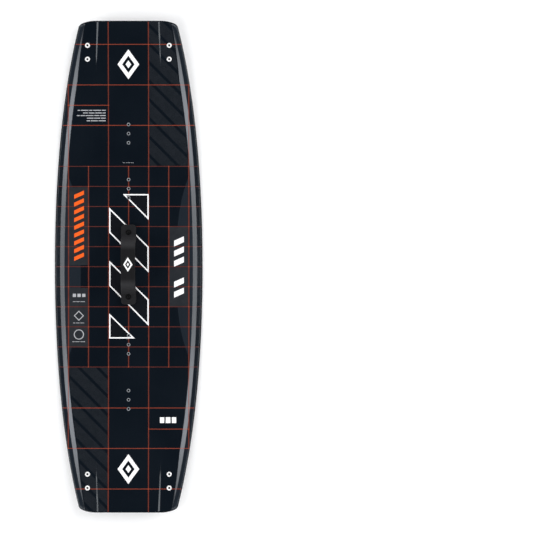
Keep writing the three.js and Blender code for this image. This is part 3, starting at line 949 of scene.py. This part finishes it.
def button_head(radius, height, length):
    """A dome-headed socket screw standing on height 0, with its shank going down."""
    floor = 0.3 * height
    dome = [(radius * math.cos(a), floor + 0.7 * height * math.sin(a))
            for a in np.linspace(0.12, 1.05, 7)]
    return [
        (0, floor - 0.4), (SOCKET_RADIUS * 0.8, floor, True), (SOCKET_RADIUS, floor + 0.1, True),
        (SOCKET_RADIUS, height * 0.9, True), (SOCKET_RADIUS + 0.35, height * 0.965), *dome[::-1],
        (radius, 0.25 * height), (radius - 0.2, 0), (SCREW_RADIUS + 0.25, 0), (SCREW_RADIUS, -0.3),
        (SCREW_RADIUS, -length + 0.6), (SCREW_RADIUS - 0.6, -length), (0, -length),
    ]


def washer_profile(radius):
    edge, top, hole = 0.3, WASHER_HEIGHT, WASHER_HOLE_RADIUS
    return [
        (hole, edge), (hole + edge, 0), (radius - edge, 0), (radius, edge), (radius, top - 0.45),
        (radius - 0.15, top - 0.15), (radius - 0.5, top), (hole + edge, top), (hole, top - edge),
    ]


def insert_profile():
    """A threaded insert: a ring at the deck over a blind thread."""
    crests = []
    depth = 0.5
    while depth < INSERT_DEPTH - 1.6:
        crests += [(THREAD_MINOR, -depth), (THREAD_MAJOR, -depth - THREAD_PITCH / 2)]
        depth += THREAD_PITCH
    return [
        (0, -INSERT_DEPTH), (INSERT_RADIUS, -INSERT_DEPTH), (INSERT_RADIUS, -0.25),
        (INSERT_RADIUS - 0.25, 0), (THREAD_MAJOR + 0.25, 0), *crests,
        (THREAD_MINOR, 1 - INSERT_DEPTH), (0, 1 - INSERT_DEPTH),
    ]


def build_fasteners():
    bore = SOCKET_RADIUS + 0.1
    for node, site in foot_inserts.items():
        turned_piece(node, insert_profile(), site, 0, "insert", "steel", THREAD_MAJOR + 0.1)
    level = FIT_GAP + WASHER_HEIGHT + BOND_LINE
    for node, site in fin_washers.items():
        screw = node.replace("washer", "screw")
        low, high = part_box(screw)
        head = button_head(FIN_HEAD_RADIUS, FIN_HEAD_HEIGHT,
                           (high[2] - low[2]) * METRE - FIN_HEAD_HEIGHT - 0.3)
        turned_piece(node, washer_profile(FIN_WASHER_RADIUS), site, FIT_GAP, "silver", "washer")
        turned_piece(screw, head, site, level, "silver", "steel", bore)
    level = FOOT_CLEARANCE + FOOT_THICKNESS / 2 + STRAP_THICKNESS / 2 + 2 * FIT_GAP
    head = button_head(HANDLE_HEAD_RADIUS, HANDLE_HEAD_HEIGHT,
                       level + WASHER_HEIGHT + HANDLE_SCREW_GRIP)
    washer = washer_profile(HANDLE_WASHER_RADIUS)
    for end, site in handle_sites.items():
        turned_piece(f"handle_washer_{end}", washer, site, level, "black_oxide", "washer")
        turned_piece(f"handle_screw_{end}", head, site, level + WASHER_HEIGHT + BOND_LINE,
                     "black_oxide", "steel", bore)


# Fins

def smooth_line(points, count):
    """A centripetal Catmull-Rom curve through points, sampled evenly along its length."""
    points = np.array(points, dtype=float)
    padded = np.vstack([2 * points[0] - points[1], points, 2 * points[-1] - points[-2]])
    samples = []
    for p0, p1, p2, p3 in zip(padded, padded[1:], padded[2:], padded[3:]):
        a, b, c = [max(np.linalg.norm(end - start) ** 0.5, 1e-6)
                   for start, end in ((p0, p1), (p1, p2), (p2, p3))]
        into = ((p1 - p0) / a - (p2 - p0) / (a + b) + (p2 - p1) / b) * b
        out = ((p2 - p1) / b - (p3 - p1) / (b + c) + (p3 - p2) / c) * b
        for t in np.linspace(0, 1, 24, endpoint=False):
            samples.append((2 * t ** 3 - 3 * t ** 2 + 1) * p1 + (t ** 3 - 2 * t ** 2 + t) * into
                           + (3 * t ** 2 - 2 * t ** 3) * p2 + (t ** 3 - t ** 2) * out)
    samples = np.array(samples + [points[-1]])
    along = np.concatenate([[0], np.cumsum(np.linalg.norm(np.diff(samples, axis=0), axis=1))])
    even = np.linspace(0, along[-1], count)
    return np.stack([np.interp(even, along, values) for values in samples.T], axis=1)


def fin_half_thickness(chord, drop, part):
    """Leaf-shaped in plan, thinning downwards and rounded in along its own lower outline, with a
    low flange where it meets the board."""
    plan = (1 - abs(2 * chord - 1) ** FIN_PLAN_POWER) ** (1 / FIN_PLAN_POWER)
    taper = 1 - FIN_TAPER * (drop / FIN_DEPTH) ** FIN_TAPER_POWER
    nose = math.sqrt(max(0.0, 1 - part ** FIN_NOSE_POWER))
    flange = FIN_FLANGE * max(0.0, 1 - drop / FIN_FLANGE_HEIGHT) ** 2
    body = (FIN_HALF_THICKNESS - FIN_EDGE) * plan * taper * nose
    return FIN_EDGE * (0.3 + 0.7 * nose) + body + flange


def fin_wall(inboard, low):
    """Half of a fin's section as (half thickness, height), from the board down."""
    high = base_height(FIN_X, FIN_OUTER_Y - inboard) - FIN_GAP
    depth = high - low
    chord = min(1, inboard / FIN_LOWER_EDGE[-1][0])
    falls = [drop * min(1.0, depth / FIN_SHALLOW) for drop in FIN_FLANGE_DROPS]
    rest = (depth - falls[-1]) * np.sin(np.linspace(0, math.pi / 2, FIN_LEVELS + 1)[1:])
    falls += [falls[-1] + fall for fall in rest]
    return [(fin_half_thickness(chord, fall, fall / depth), high - fall) for fall in falls]


def build_fins():
    edge = smooth_line(FIN_LOWER_EDGE, FIN_STATIONS)
    for end_name, end in ENDS.items():
        for side_name, side in SIDES.items():
            rings = []
            for inboard, low in edge:
                wall = fin_wall(inboard, low)
                y = end * (FIN_OUTER_Y - inboard)
                left = [(side * FIN_X - half, y, z) for half, z in wall]
                right = [(side * FIN_X + half, y, z) for half, z in wall]
                rings.append(left + right[::-1])
            lofted(f"fin_{end_name}_{side_name}", rings, fin_material, "fin", FIN_SHARP_ANGLE)


# Carry handle

FOOT_LEVEL = float(deck_height(0, HANDLE_CENTRE_Y + HANDLE_SCREW_Y)) + FOOT_CLEARANCE
FOOT_MIDDLE = FOOT_LEVEL + FOOT_THICKNESS / 2
GRIP_MIDDLE = float(deck_height(0, 0)) + HANDLE_TOP - GRIP_THICKNESS / 2


def handle_line():
    rise = GRIP_MIDDLE - FOOT_MIDDLE
    half = [(y, FOOT_MIDDLE + part * rise) for y, part in HANDLE_RISE]
    line = [*half, (0, GRIP_MIDDLE), *[(-y, z) for y, z in reversed(half)]]
    return smooth_line([(HANDLE_CENTRE_Y + y, z) for y, z in line], HANDLE_STATIONS)


def grip_top(x, y):
    """Upper face of the grip near the middle of its length."""
    line = handle_line()[::-1]
    level = np.interp(y, line[:, 0], line[:, 1]) + GRIP_THICKNESS / 2
    return level + GRIP_CROWN * (1 - (2 * x / GRIP_WIDTH) ** 2)


def rounded_section(width, thickness, corner, crown):
    """A rounded rectangle as (across, up), with its top and bottom bulging by the crown."""
    quarters = []
    for sign_x, sign_z, start in ((-1, 1, 180), (1, 1, 90), (1, -1, 0), (-1, -1, -90)):
        middle_x = sign_x * (width / 2 - corner)
        middle_z = sign_z * (thickness / 2 - corner)
        angles = np.radians(np.linspace(start, start - 90, CORNER_STEPS + 1))
        quarters.append([(middle_x + corner * math.cos(angle), middle_z + corner * math.sin(angle))
                         for angle in angles])
    points = []
    for quarter, after in zip(quarters, quarters[1:] + quarters[:1]):
        points += quarter
        (x0, z0), (x1, z1) = quarter[-1], after[0]
        steps = FLAT_STEPS if abs(x1 - x0) > abs(z1 - z0) else 2
        for i in range(1, steps):
            points.append((x0 + (x1 - x0) * i / steps, z0 + (z1 - z0) * i / steps))
    return [(x, z + math.copysign(crown * max(0.0, 1 - (2 * x / width) ** 2), z))
            for x, z in points]


def build_handle():
    line = handle_line()
    along = np.concatenate([[0], np.cumsum(np.linalg.norm(np.diff(line, axis=0), axis=1))])
    tangents = np.gradient(line, along, axis=0)
    rings = []
    for (y, z), (dy, dz), place in zip(line, tangents, along):
        blend = unit((z - FOOT_MIDDLE) / (GRIP_MIDDLE - FOOT_MIDDLE))
        blend = blend * blend * (3 - 2 * blend)
        from_end = min(place, along[-1] - place)
        width = FOOT_WIDTH + (GRIP_WIDTH - FOOT_WIDTH) * blend
        width -= 2 * edge_inset(FOOT_CORNER, from_end)
        thickness = FOOT_THICKNESS + (GRIP_THICKNESS - FOOT_THICKNESS) * blend
        thickness -= 2 * edge_inset(FOOT_EDGE_RADIUS, from_end)
        corner = min(GRIP_CORNER, 0.45 * thickness)
        length = math.hypot(dy, dz)
        up_y, up_z = dz / length, -dy / length
        section = rounded_section(width, thickness, corner, GRIP_CROWN * blend)
        rings.append([(x, y + up_y * rise, z + up_z * rise) for x, rise in section])
    grip = lofted("handle_grip", rings, rubber_material, "handle_rubber", HANDLE_SHARP_ANGLE)
    middle = FOOT_CLEARANCE + FOOT_THICKNESS / 2
    top = FOOT_CLEARANCE + FOOT_THICKNESS
    rim = RECESS_RADIUS + 0.9
    recess = [
        (0, -3), (SCREW_HOLE_RADIUS, -3), (SCREW_HOLE_RADIUS, middle), (RECESS_RADIUS, middle),
        (RECESS_RADIUS, top - 0.7), (RECESS_RADIUS + 0.25, top - 0.2), (rim, top + 0.2),
        (rim, top + 3), (0, top + 3),
    ]
    cut_away(grip, [turned_mesh(recess, stand_on_deck(site), RECESS_SIDES)
                    for site in handle_sites.values()], HANDLE_SHARP_ANGLE)

    # Painted highlight, away from the grip's middle and growing up the legs
    def leg_highlight(_x, y, z):
        outer = unit((np.abs(y - HANDLE_CENTRE_Y) - LEG_HIGHLIGHT_FROM) / LEG_HIGHLIGHT_OVER)
        return outer * np.clip((z - FOOT_MIDDLE) / LEG_HIGHLIGHT_RISE, LEG_HIGHLIGHT_LEAST, 1)

    def recessed(x, y, _z):
        inside = [np.hypot(x - site[0], y - site[1]) < RECESS_RADIUS + 0.1
                  for site in handle_sites.values()]
        return np.any(inside, axis=0)

    paint_mask(grip, "leg_highlight", leg_highlight)
    paint_mask(grip, "shade", recessed)


# Prints

def clip(polygon, a, b, c):
    """The part of a convex polygon where a x + b y >= c."""
    result = []
    for p, q in zip(polygon, polygon[1:] + polygon[:1]):
        side_p = a * p[0] + b * p[1] - c
        side_q = a * q[0] + b * q[1] - c
        if side_p >= 0:
            result.append(p)
        if side_p * side_q < 0:
            part = side_p / (side_p - side_q)
            result.append((p[0] + (q[0] - p[0]) * part, p[1] + (q[1] - p[1]) * part))
    return result


def rectangle(x0, y0, x1, y1):
    return [(x0, y0), (x1, y0), (x1, y1), (x0, y1)]


def outline(polygon, width):
    """A closed line of a width just inside a convex polygon, as one mitred quad for each side."""
    area = sum(p[0] * q[1] - q[0] * p[1] for p, q in zip(polygon, polygon[1:] + polygon[:1]))
    points = [Vector(p) for p in (polygon if area > 0 else polygon[::-1])]
    inner = []
    for before, point, after in zip(points[-1:] + points, points, points[1:] + points[:1]):
        into, out = (point - before).normalized(), (after - point).normalized()
        normal = Vector((-into.y, into.x))
        bisector = (normal + Vector((-out.y, out.x))).normalized()
        inner.append(point + bisector * (width / bisector.dot(normal)))
    corners = list(zip(points, inner))
    return [[tuple(a), tuple(b), tuple(b_in), tuple(a_in)]
            for (a, a_in), (b, b_in) in zip(corners, corners[1:] + corners[:1])]


def print_piece(name, polygons, ink, surface=deck_surface, lift=SHAPE_LIFT,
                steps=(PRINT_STEP, PRINT_STEP), fine=()):
    """Convex polygons as one thin closed layer, cut at even steps and at every millimetre inside
    the fine ranges of x so that it keeps to a surface."""
    bm = bmesh.new()
    for polygon in polygons:
        bm.faces.new([bm.verts.new((x, y, 0)) for x, y in polygon])
    flat = np.array([point for polygon in polygons for point in polygon])
    planes = []
    for axis, step in enumerate(steps):
        low, high = flat[:, axis].min(), flat[:, axis].max()
        planes += [(axis, k * step + PLANE_SHIFT)
                   for k in range(math.floor(low / step) + 1, math.ceil(high / step))]
    planes += [(0, x + 0.5) for start, end in fine for x in range(start, end)]
    for axis, place in planes:
        facing = Vector((1, 0, 0) if axis == 0 else (0, 1, 0))
        everything = bm.verts[:] + bm.edges[:] + bm.faces[:]
        bmesh.ops.bisect_plane(bm, geom=everything, dist=1e-4, plane_co=facing * place,
                               plane_no=facing)
    bmesh.ops.remove_doubles(bm, verts=bm.verts, dist=1e-3)
    made = bmesh.ops.extrude_face_region(bm, geom=bm.faces[:], use_keep_orig=True)
    lowered = {item for item in made["geom"] if isinstance(item, bmesh.types.BMVert)}
    for vert in bm.verts:
        level = lift - PRINT_DEPTH if vert in lowered else lift
        vert.co.z = float(surface(vert.co.x, vert.co.y)) + level
    bmesh.ops.scale(bm, vec=(MM, MM, MM), verts=bm.verts)
    return piece_from_bmesh(f"print_{name}", bm, *inks[ink])


# Lines of the grid in pitches: places of the lines from rail to rail, place and ends of the short
# lines across, places of the lines from tip to tip, and places and reach of the shorter ones
RAIL_TO_RAIL = (0, 1, 2, 3, 4, 5, 7.04, 9.05, 11.06)
SHORT_ACROSS = ((8.04, -3, -1), (-8.09, 1, 3))
TIP_TO_TIP = (-1, 1)
SHORT_ALONG = (((-2, 0, 2), 5), ((-3, 3), 9.05))
# Within this reach, in pitches, the lines across are dimmer
MIDDLE_REACH = 5.5


def grid_lines():
    """The deck's printed grid as (fixed place, start, end) of lines across and lines along."""
    pitch = GRID_PITCH
    across = []
    for k in RAIL_TO_RAIL:
        reach = float(half_width(k * pitch)) - PRINT_INSET
        across += [(sign * k * pitch, -reach, reach) for sign in ((1, -1) if k else (1,))]
    across += [tuple(value * pitch for value in line) for line in SHORT_ACROSS]
    reach = HALF_LENGTH - PRINT_INSET
    along = [(k * pitch, -reach, reach) for k in TIP_TO_TIP]
    for places, reach in SHORT_ALONG:
        along += [(k * pitch, -reach * pitch, reach * pitch) for k in places]
    return across, along


def pieces_of_line(line, others, half, half_other):
    """The places where others cross a line, and the line's stretches between those crossings."""
    place, start, end = line
    stops = sorted(at for at, low, high in others if low - half <= place <= high + half
                   and start - half_other <= at <= end + half_other)
    edges = [start, *(edge for at in stops for edge in (at - half_other, at + half_other)), end]
    return stops, [(a, b) for a, b in zip(edges[::2], edges[1::2]) if b - a > 0.5]


def build_grid():
    across, along = grid_lines()
    half_x, half_y = GRID_LINE / 2, GRID_LINE_ACROSS / 2
    middle, tips, lengthwise, squares = [], [], [], []
    for line in across:
        y = line[0]
        stops, stretches = pieces_of_line(line, along, half_y, half_x)
        group = middle if abs(y) < MIDDLE_REACH * GRID_PITCH else tips
        group += [rectangle(a, y - half_y, b, y + half_y) for a, b in stretches]
        squares += [rectangle(x - half_x, y - half_y, x + half_x, y + half_y) for x in stops]
    for line in along:
        x = line[0]
        stretches = pieces_of_line(line, across, half_x, half_y)[1]
        lengthwise += [rectangle(x - half_x, a, x + half_x, b) for a, b in stretches]
    edge = int(HALF_WIDTH)
    fine = [(-edge, -RIDGE_INNER), (RIDGE_INNER, edge)]
    for name, lines, ink in (("across_middle", middle, "orange_dim"),
                             ("across_tips", tips, "orange_tip"), ("along", lengthwise, "orange"),
                             ("crossings", squares, "orange_bright")):
        piece = print_piece(f"grid_{name}", lines, ink, lift=GRID_LIFT, fine=fine)
        cut_away(piece, deck_holes)


def corner_panel(turn):
    """The hatched panel at one tip, as strips between its darker slanting stripes."""
    half = GRID_LINE / 2
    low = 5 * GRID_PITCH + half
    y = np.linspace(low, CORNER_Y - 4, 60)
    side = [(float(bevel_lines(v)[0]) - PANEL_SIDE_GAP, float(v)) for v in y]
    tip_x = np.linspace(side[-1][0], GRID_PITCH + half, 24)
    tip = [(float(x), float(tip_edge(x)) - PANEL_TIP_GAP) for x in tip_x[1:]]
    region = [(GRID_PITCH + half, low), *side, *tip]
    strips = []
    for k in range(20):
        start = STRIPE_START + k * STRIPE_PITCH + STRIPE / 2
        strip = clip(clip(region, 1, 1, start), -1, -1, STRIPE - STRIPE_PITCH - start)
        if len(strip) > 2:
            strips.append([(turn * x, turn * v) for x, v in strip])
    return strips


def build_panels():
    """The panels lie under the grid's lines and stop short of them."""
    half, pitch = GRID_LINE / 2, GRID_PITCH
    hatch = corner_panel(1) + corner_panel(-1)
    print_piece("corner_panels", hatch, "hatch", lift=PANEL_LIFT,
                fine=[(-RIDGE_OUTER, -RIDGE_INNER), (RIDGE_INNER, RIDGE_OUTER)])
    left = (-3 * pitch + half, -2 * pitch - half)
    right = (2 * pitch + half, 3 * pitch - half)
    stretches = [(left, 4.5, 220.5), (left, -224, -59), (right, -112, 111)]
    panels = [rectangle(x0, low, x1, high) for (x0, x1), low, high in stretches]
    print_piece("side_panels", panels, "grey", lift=PANEL_LIFT)


def slashes(x0, x1, start, count, width, pitch):
    """A row of slanting bars along the board, between two distances from its centreline."""
    lean = 0.45 * (x1 - x0)
    return [[(x0, y), (x1, y + lean), (x1, y + lean + width), (x0, y + width)]
            for y in (start - k * pitch for k in range(count))]


def diamond(x, y, half_x, half_y):
    return [(x + half_x, y), (x, y + half_y), (x - half_x, y), (x, y - half_y)]


def emblem(x, y, half_x, half_y):
    """A plain diamond frame round a small diamond."""
    return [*outline(diamond(x, y, half_x, half_y), 0.34 * half_x),
            diamond(x, y, 0.26 * half_x, 0.26 * half_y)]


def ring(x, y, radius, width):
    angles = [2 * math.pi * i / RING_SIDES for i in range(RING_SIDES)]
    corners = [(x + radius * math.cos(angle), y + radius * math.sin(angle)) for angle in angles]
    return outline(corners, width)


def dashes(x_end, y, lengths, height, gap=2.0):
    """A row of dashes that ends at x_end."""
    row = []
    for length in lengths:
        row.append(rectangle(x_end - length, y - height / 2, x_end, y + height / 2))
        x_end -= length + gap
    return row


# Corners of the outlined shapes round the handle, in pitches of the grid
OUTLINED_SHAPES = [
    [(-0.29, 3.62), (1, 3.62), (1, 2.33)],
    [(-0.97, 2.95), (1, 0.99), (1, -0.3), (-0.97, 1.7)],
    [(-0.97, 0.3), (1, -1.64), (1, -2.95), (-0.97, -0.96)],
    [(-0.97, -2.33), (0.31, -3.58), (-0.97, -3.58)],
]
# Rows of bars: sides, start, count, width and pitch
ORANGE_BARS = (-151, -124, 188, 9, 11, 21.5)
WHITE_BARS = ((126, 153, 56, 3, 16, 28), (126, 153, -58, 2, 16, 28))
# Small marks: three squares, a diamond and a ring
SQUARES_X, SQUARES_Y, SQUARE_SIDE = (-155, -142, -129), -84, 9
MARK_X, DIAMOND_Y, RING_Y, MARK_RADIUS, MARK_LINE = -138, -136, -188, 14, 2.2
# Rows of dashes under the small marks: end, place along the board, lengths
MARK_DASHES = ((-121, -97, [13, 9, 8]), (-123, -156, [11, 10, 6]), (-121, -208, [13, 12, 6]))
MARK_DASH_HEIGHT = 1.4
# Block of dashes: its end, its first row's place, its rows' pitch and height, and their lengths
BLOCK_X, BLOCK_Y, BLOCK_PITCH, BLOCK_DASH_HEIGHT = -63, 433, 7.2, 2.4
DASH_ROWS = ([11, 22, 9, 21, 7], [9, 18, 16, 14], [16, 14, 22, 12, 8], [13, 17, 18], [20, 19, 10])
# End, place along the board, lengths, height and gap
FINE_DASHES = (14, 288, [8, 12, 6], 0.8)
SIZE_BARS = (132, -425, [12, 13, 12], 16, 4)
EMBLEM_SIZE = (30, 41)
HANDLE_EMBLEM_SIZE = (13, 20)
HANDLE_EMBLEM_LIFT = 0.15
# Bars on the base: middles of their lower sides, half length, half lean and width
BASE_BARS_Y = (-272, -56, 160)
BASE_BAR_REACH, BASE_BAR_LEAN, BASE_BAR_WIDTH = 172, 48, 112
BASE_PRINT_LIFT = -0.07
# Their fine cuts, where the channels' walls run
BASE_FINE = (134, 156)


def build_graphics():
    shapes = [[(x * GRID_PITCH, y * GRID_PITCH) for x, y in shape] for shape in OUTLINED_SHAPES]
    fills = print_piece("shape_fills", shapes, "fill", lift=FILL_LIFT)
    cut_away(fills, deck_holes)
    lines = [quad for shape in shapes for quad in outline(shape, SHAPE_LINE)]
    cut_away(print_piece("white_shapes", lines, "white"), deck_holes)
    print_piece("orange_bars", slashes(*ORANGE_BARS), "orange_bars")
    print_piece("white_bars", [bar for row in WHITE_BARS for bar in slashes(*row)], "white")
    marks = [rectangle(x, SQUARES_Y, x + SQUARE_SIDE, SQUARES_Y + SQUARE_SIDE) for x in SQUARES_X]
    marks += outline(diamond(MARK_X, DIAMOND_Y, MARK_RADIUS, MARK_RADIUS), MARK_LINE)
    marks += ring(MARK_X, RING_Y, MARK_RADIUS, MARK_LINE)
    for row in MARK_DASHES:
        marks += dashes(*row, MARK_DASH_HEIGHT)
    print_piece("small_marks", marks, "white_fine")
    block = []
    for i, lengths in enumerate(DASH_ROWS):
        block += dashes(BLOCK_X, BLOCK_Y - BLOCK_PITCH * i, lengths, BLOCK_DASH_HEIGHT)
    block += dashes(*FINE_DASHES)
    print_piece("dashes", block, "white_fine")
    print_piece("size_bars", dashes(*SIZE_BARS), "white")
    for name, sign in ENDS.items():
        print_piece(f"emblem_{name}", emblem(0, sign * EMBLEM_Y, *EMBLEM_SIZE), "white")
    print_piece("handle_emblem", emblem(0, HANDLE_CENTRE_Y, *HANDLE_EMBLEM_SIZE), "white",
                surface=grip_top, lift=HANDLE_EMBLEM_LIFT, steps=(2, 4))


def build_base_print():
    """Three broad slanting bars across the middle of the base."""
    reach, lean, width = BASE_BAR_REACH, BASE_BAR_LEAN, BASE_BAR_WIDTH
    bars = [[(-reach, y - lean), (reach, y + lean), (reach, y + lean + width),
             (-reach, y - lean + width)] for y in BASE_BARS_Y]
    near, far = BASE_FINE
    print_piece("base_bars", bars, "base_white", surface=base_surface, lift=BASE_PRINT_LIFT,
                fine=[(-far, -near), (near, far)])


# Hidden pieces, stage and camera

def finish_hidden_pieces():
    """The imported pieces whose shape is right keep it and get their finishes."""
    brass = brass_finish()
    finishes = {"wood_core": wood_finish(), "handle_strap": webbing_material}
    finishes.update({node: brass for node in named("fin_insert_")})
    finishes.update({node: metals["turned"] for node in named("handle_insert_")})
    for node, material in finishes.items():
        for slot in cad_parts[node].material_slots:
            slot.material = material


def build_floor():
    bm = bmesh.new()
    bmesh.ops.create_grid(bm, x_segments=30, y_segments=30, size=FLOOR_HALF_SIZE)
    floor = linked("floor", mesh_of("floor", bm))
    finish = Finish("floor_pale", roughness=0.9, specular=0.0)
    tone = finish.blend(finish.noise(3, 2), (0.92, 0.92, 0.92), (0.94, 0.94, 0.94))
    finish.feed(finish.shader, {"Base Color": tone, "Emission Color": (1, 1, 1, 1),
                                "Emission Strength": FLOOR_GLOW})
    floor.data.materials.append(finish.material)


def area_light(name, place, target, size, power, colour=(1, 1, 1)):
    data = bpy.data.lights.new(name, "AREA")
    data.shape = "RECTANGLE"
    data.size, data.size_y = size
    data.energy = power
    data.color = colour
    light = linked(name, data)
    light.location = place
    aim = (Vector(target) - Vector(place)).normalized()
    light.rotation_euler = Vector((0, 0, -1)).rotation_difference(aim).to_euler()
    light.visible_camera = False


def build_light():
    """A pale room that is dark straight overhead, soft boxes for the floor, and two long strips
    whose reflections the deck's bevels catch."""
    world = bpy.data.worlds.new("studio")
    bpy.context.scene.world = world
    world.use_nodes = True
    nodes, links = world.node_tree.nodes, world.node_tree.links
    direction = nodes.new("ShaderNodeTexCoord").outputs["Generated"]
    split = nodes.new("ShaderNodeSeparateXYZ")
    links.new(direction, split.inputs[0])
    ramp = nodes.new("ShaderNodeValToRGB")
    while len(ramp.color_ramp.elements) < len(SKY_STOPS):
        ramp.color_ramp.elements.new(0.5)
    for element, (position, level) in zip(ramp.color_ramp.elements, SKY_STOPS):
        element.position = position
        element.color = (level, level, level * 1.02, 1)
    links.new(split.outputs["Z"], ramp.inputs[0])
    links.new(ramp.outputs[0], nodes["Background"].inputs["Color"])
    for name, x in STRIPS.items():
        place = (x, 0, STRIP_HEIGHT)
        area_light(name, place, (x, 0, 0), STRIP_SIZE, STRIP_POWER, STRIP_COLOUR)
    for name, place in BOXES.items():
        area_light(name, place, (0, 0, 0), BOX_SIZE, BOX_POWER)


def build_camera():
    """Straight above the board, as far off its centreline as the frame's other half needs."""
    data = bpy.data.cameras.new("camera")
    data.sensor_width = SENSOR_WIDTH
    data.lens = LENS
    data.clip_end = 100
    camera = linked("camera", data)
    camera.location = CAMERA_PLACE
    bpy.context.scene.camera = camera
    bpy.context.scene.view_settings.view_transform = "Standard"


build_camera()
build_layers()
build_rails()
build_fasteners()
build_fins()
build_handle()
build_grid()
build_panels()
build_graphics()
build_base_print()
finish_hidden_pieces()
build_floor()
build_light()
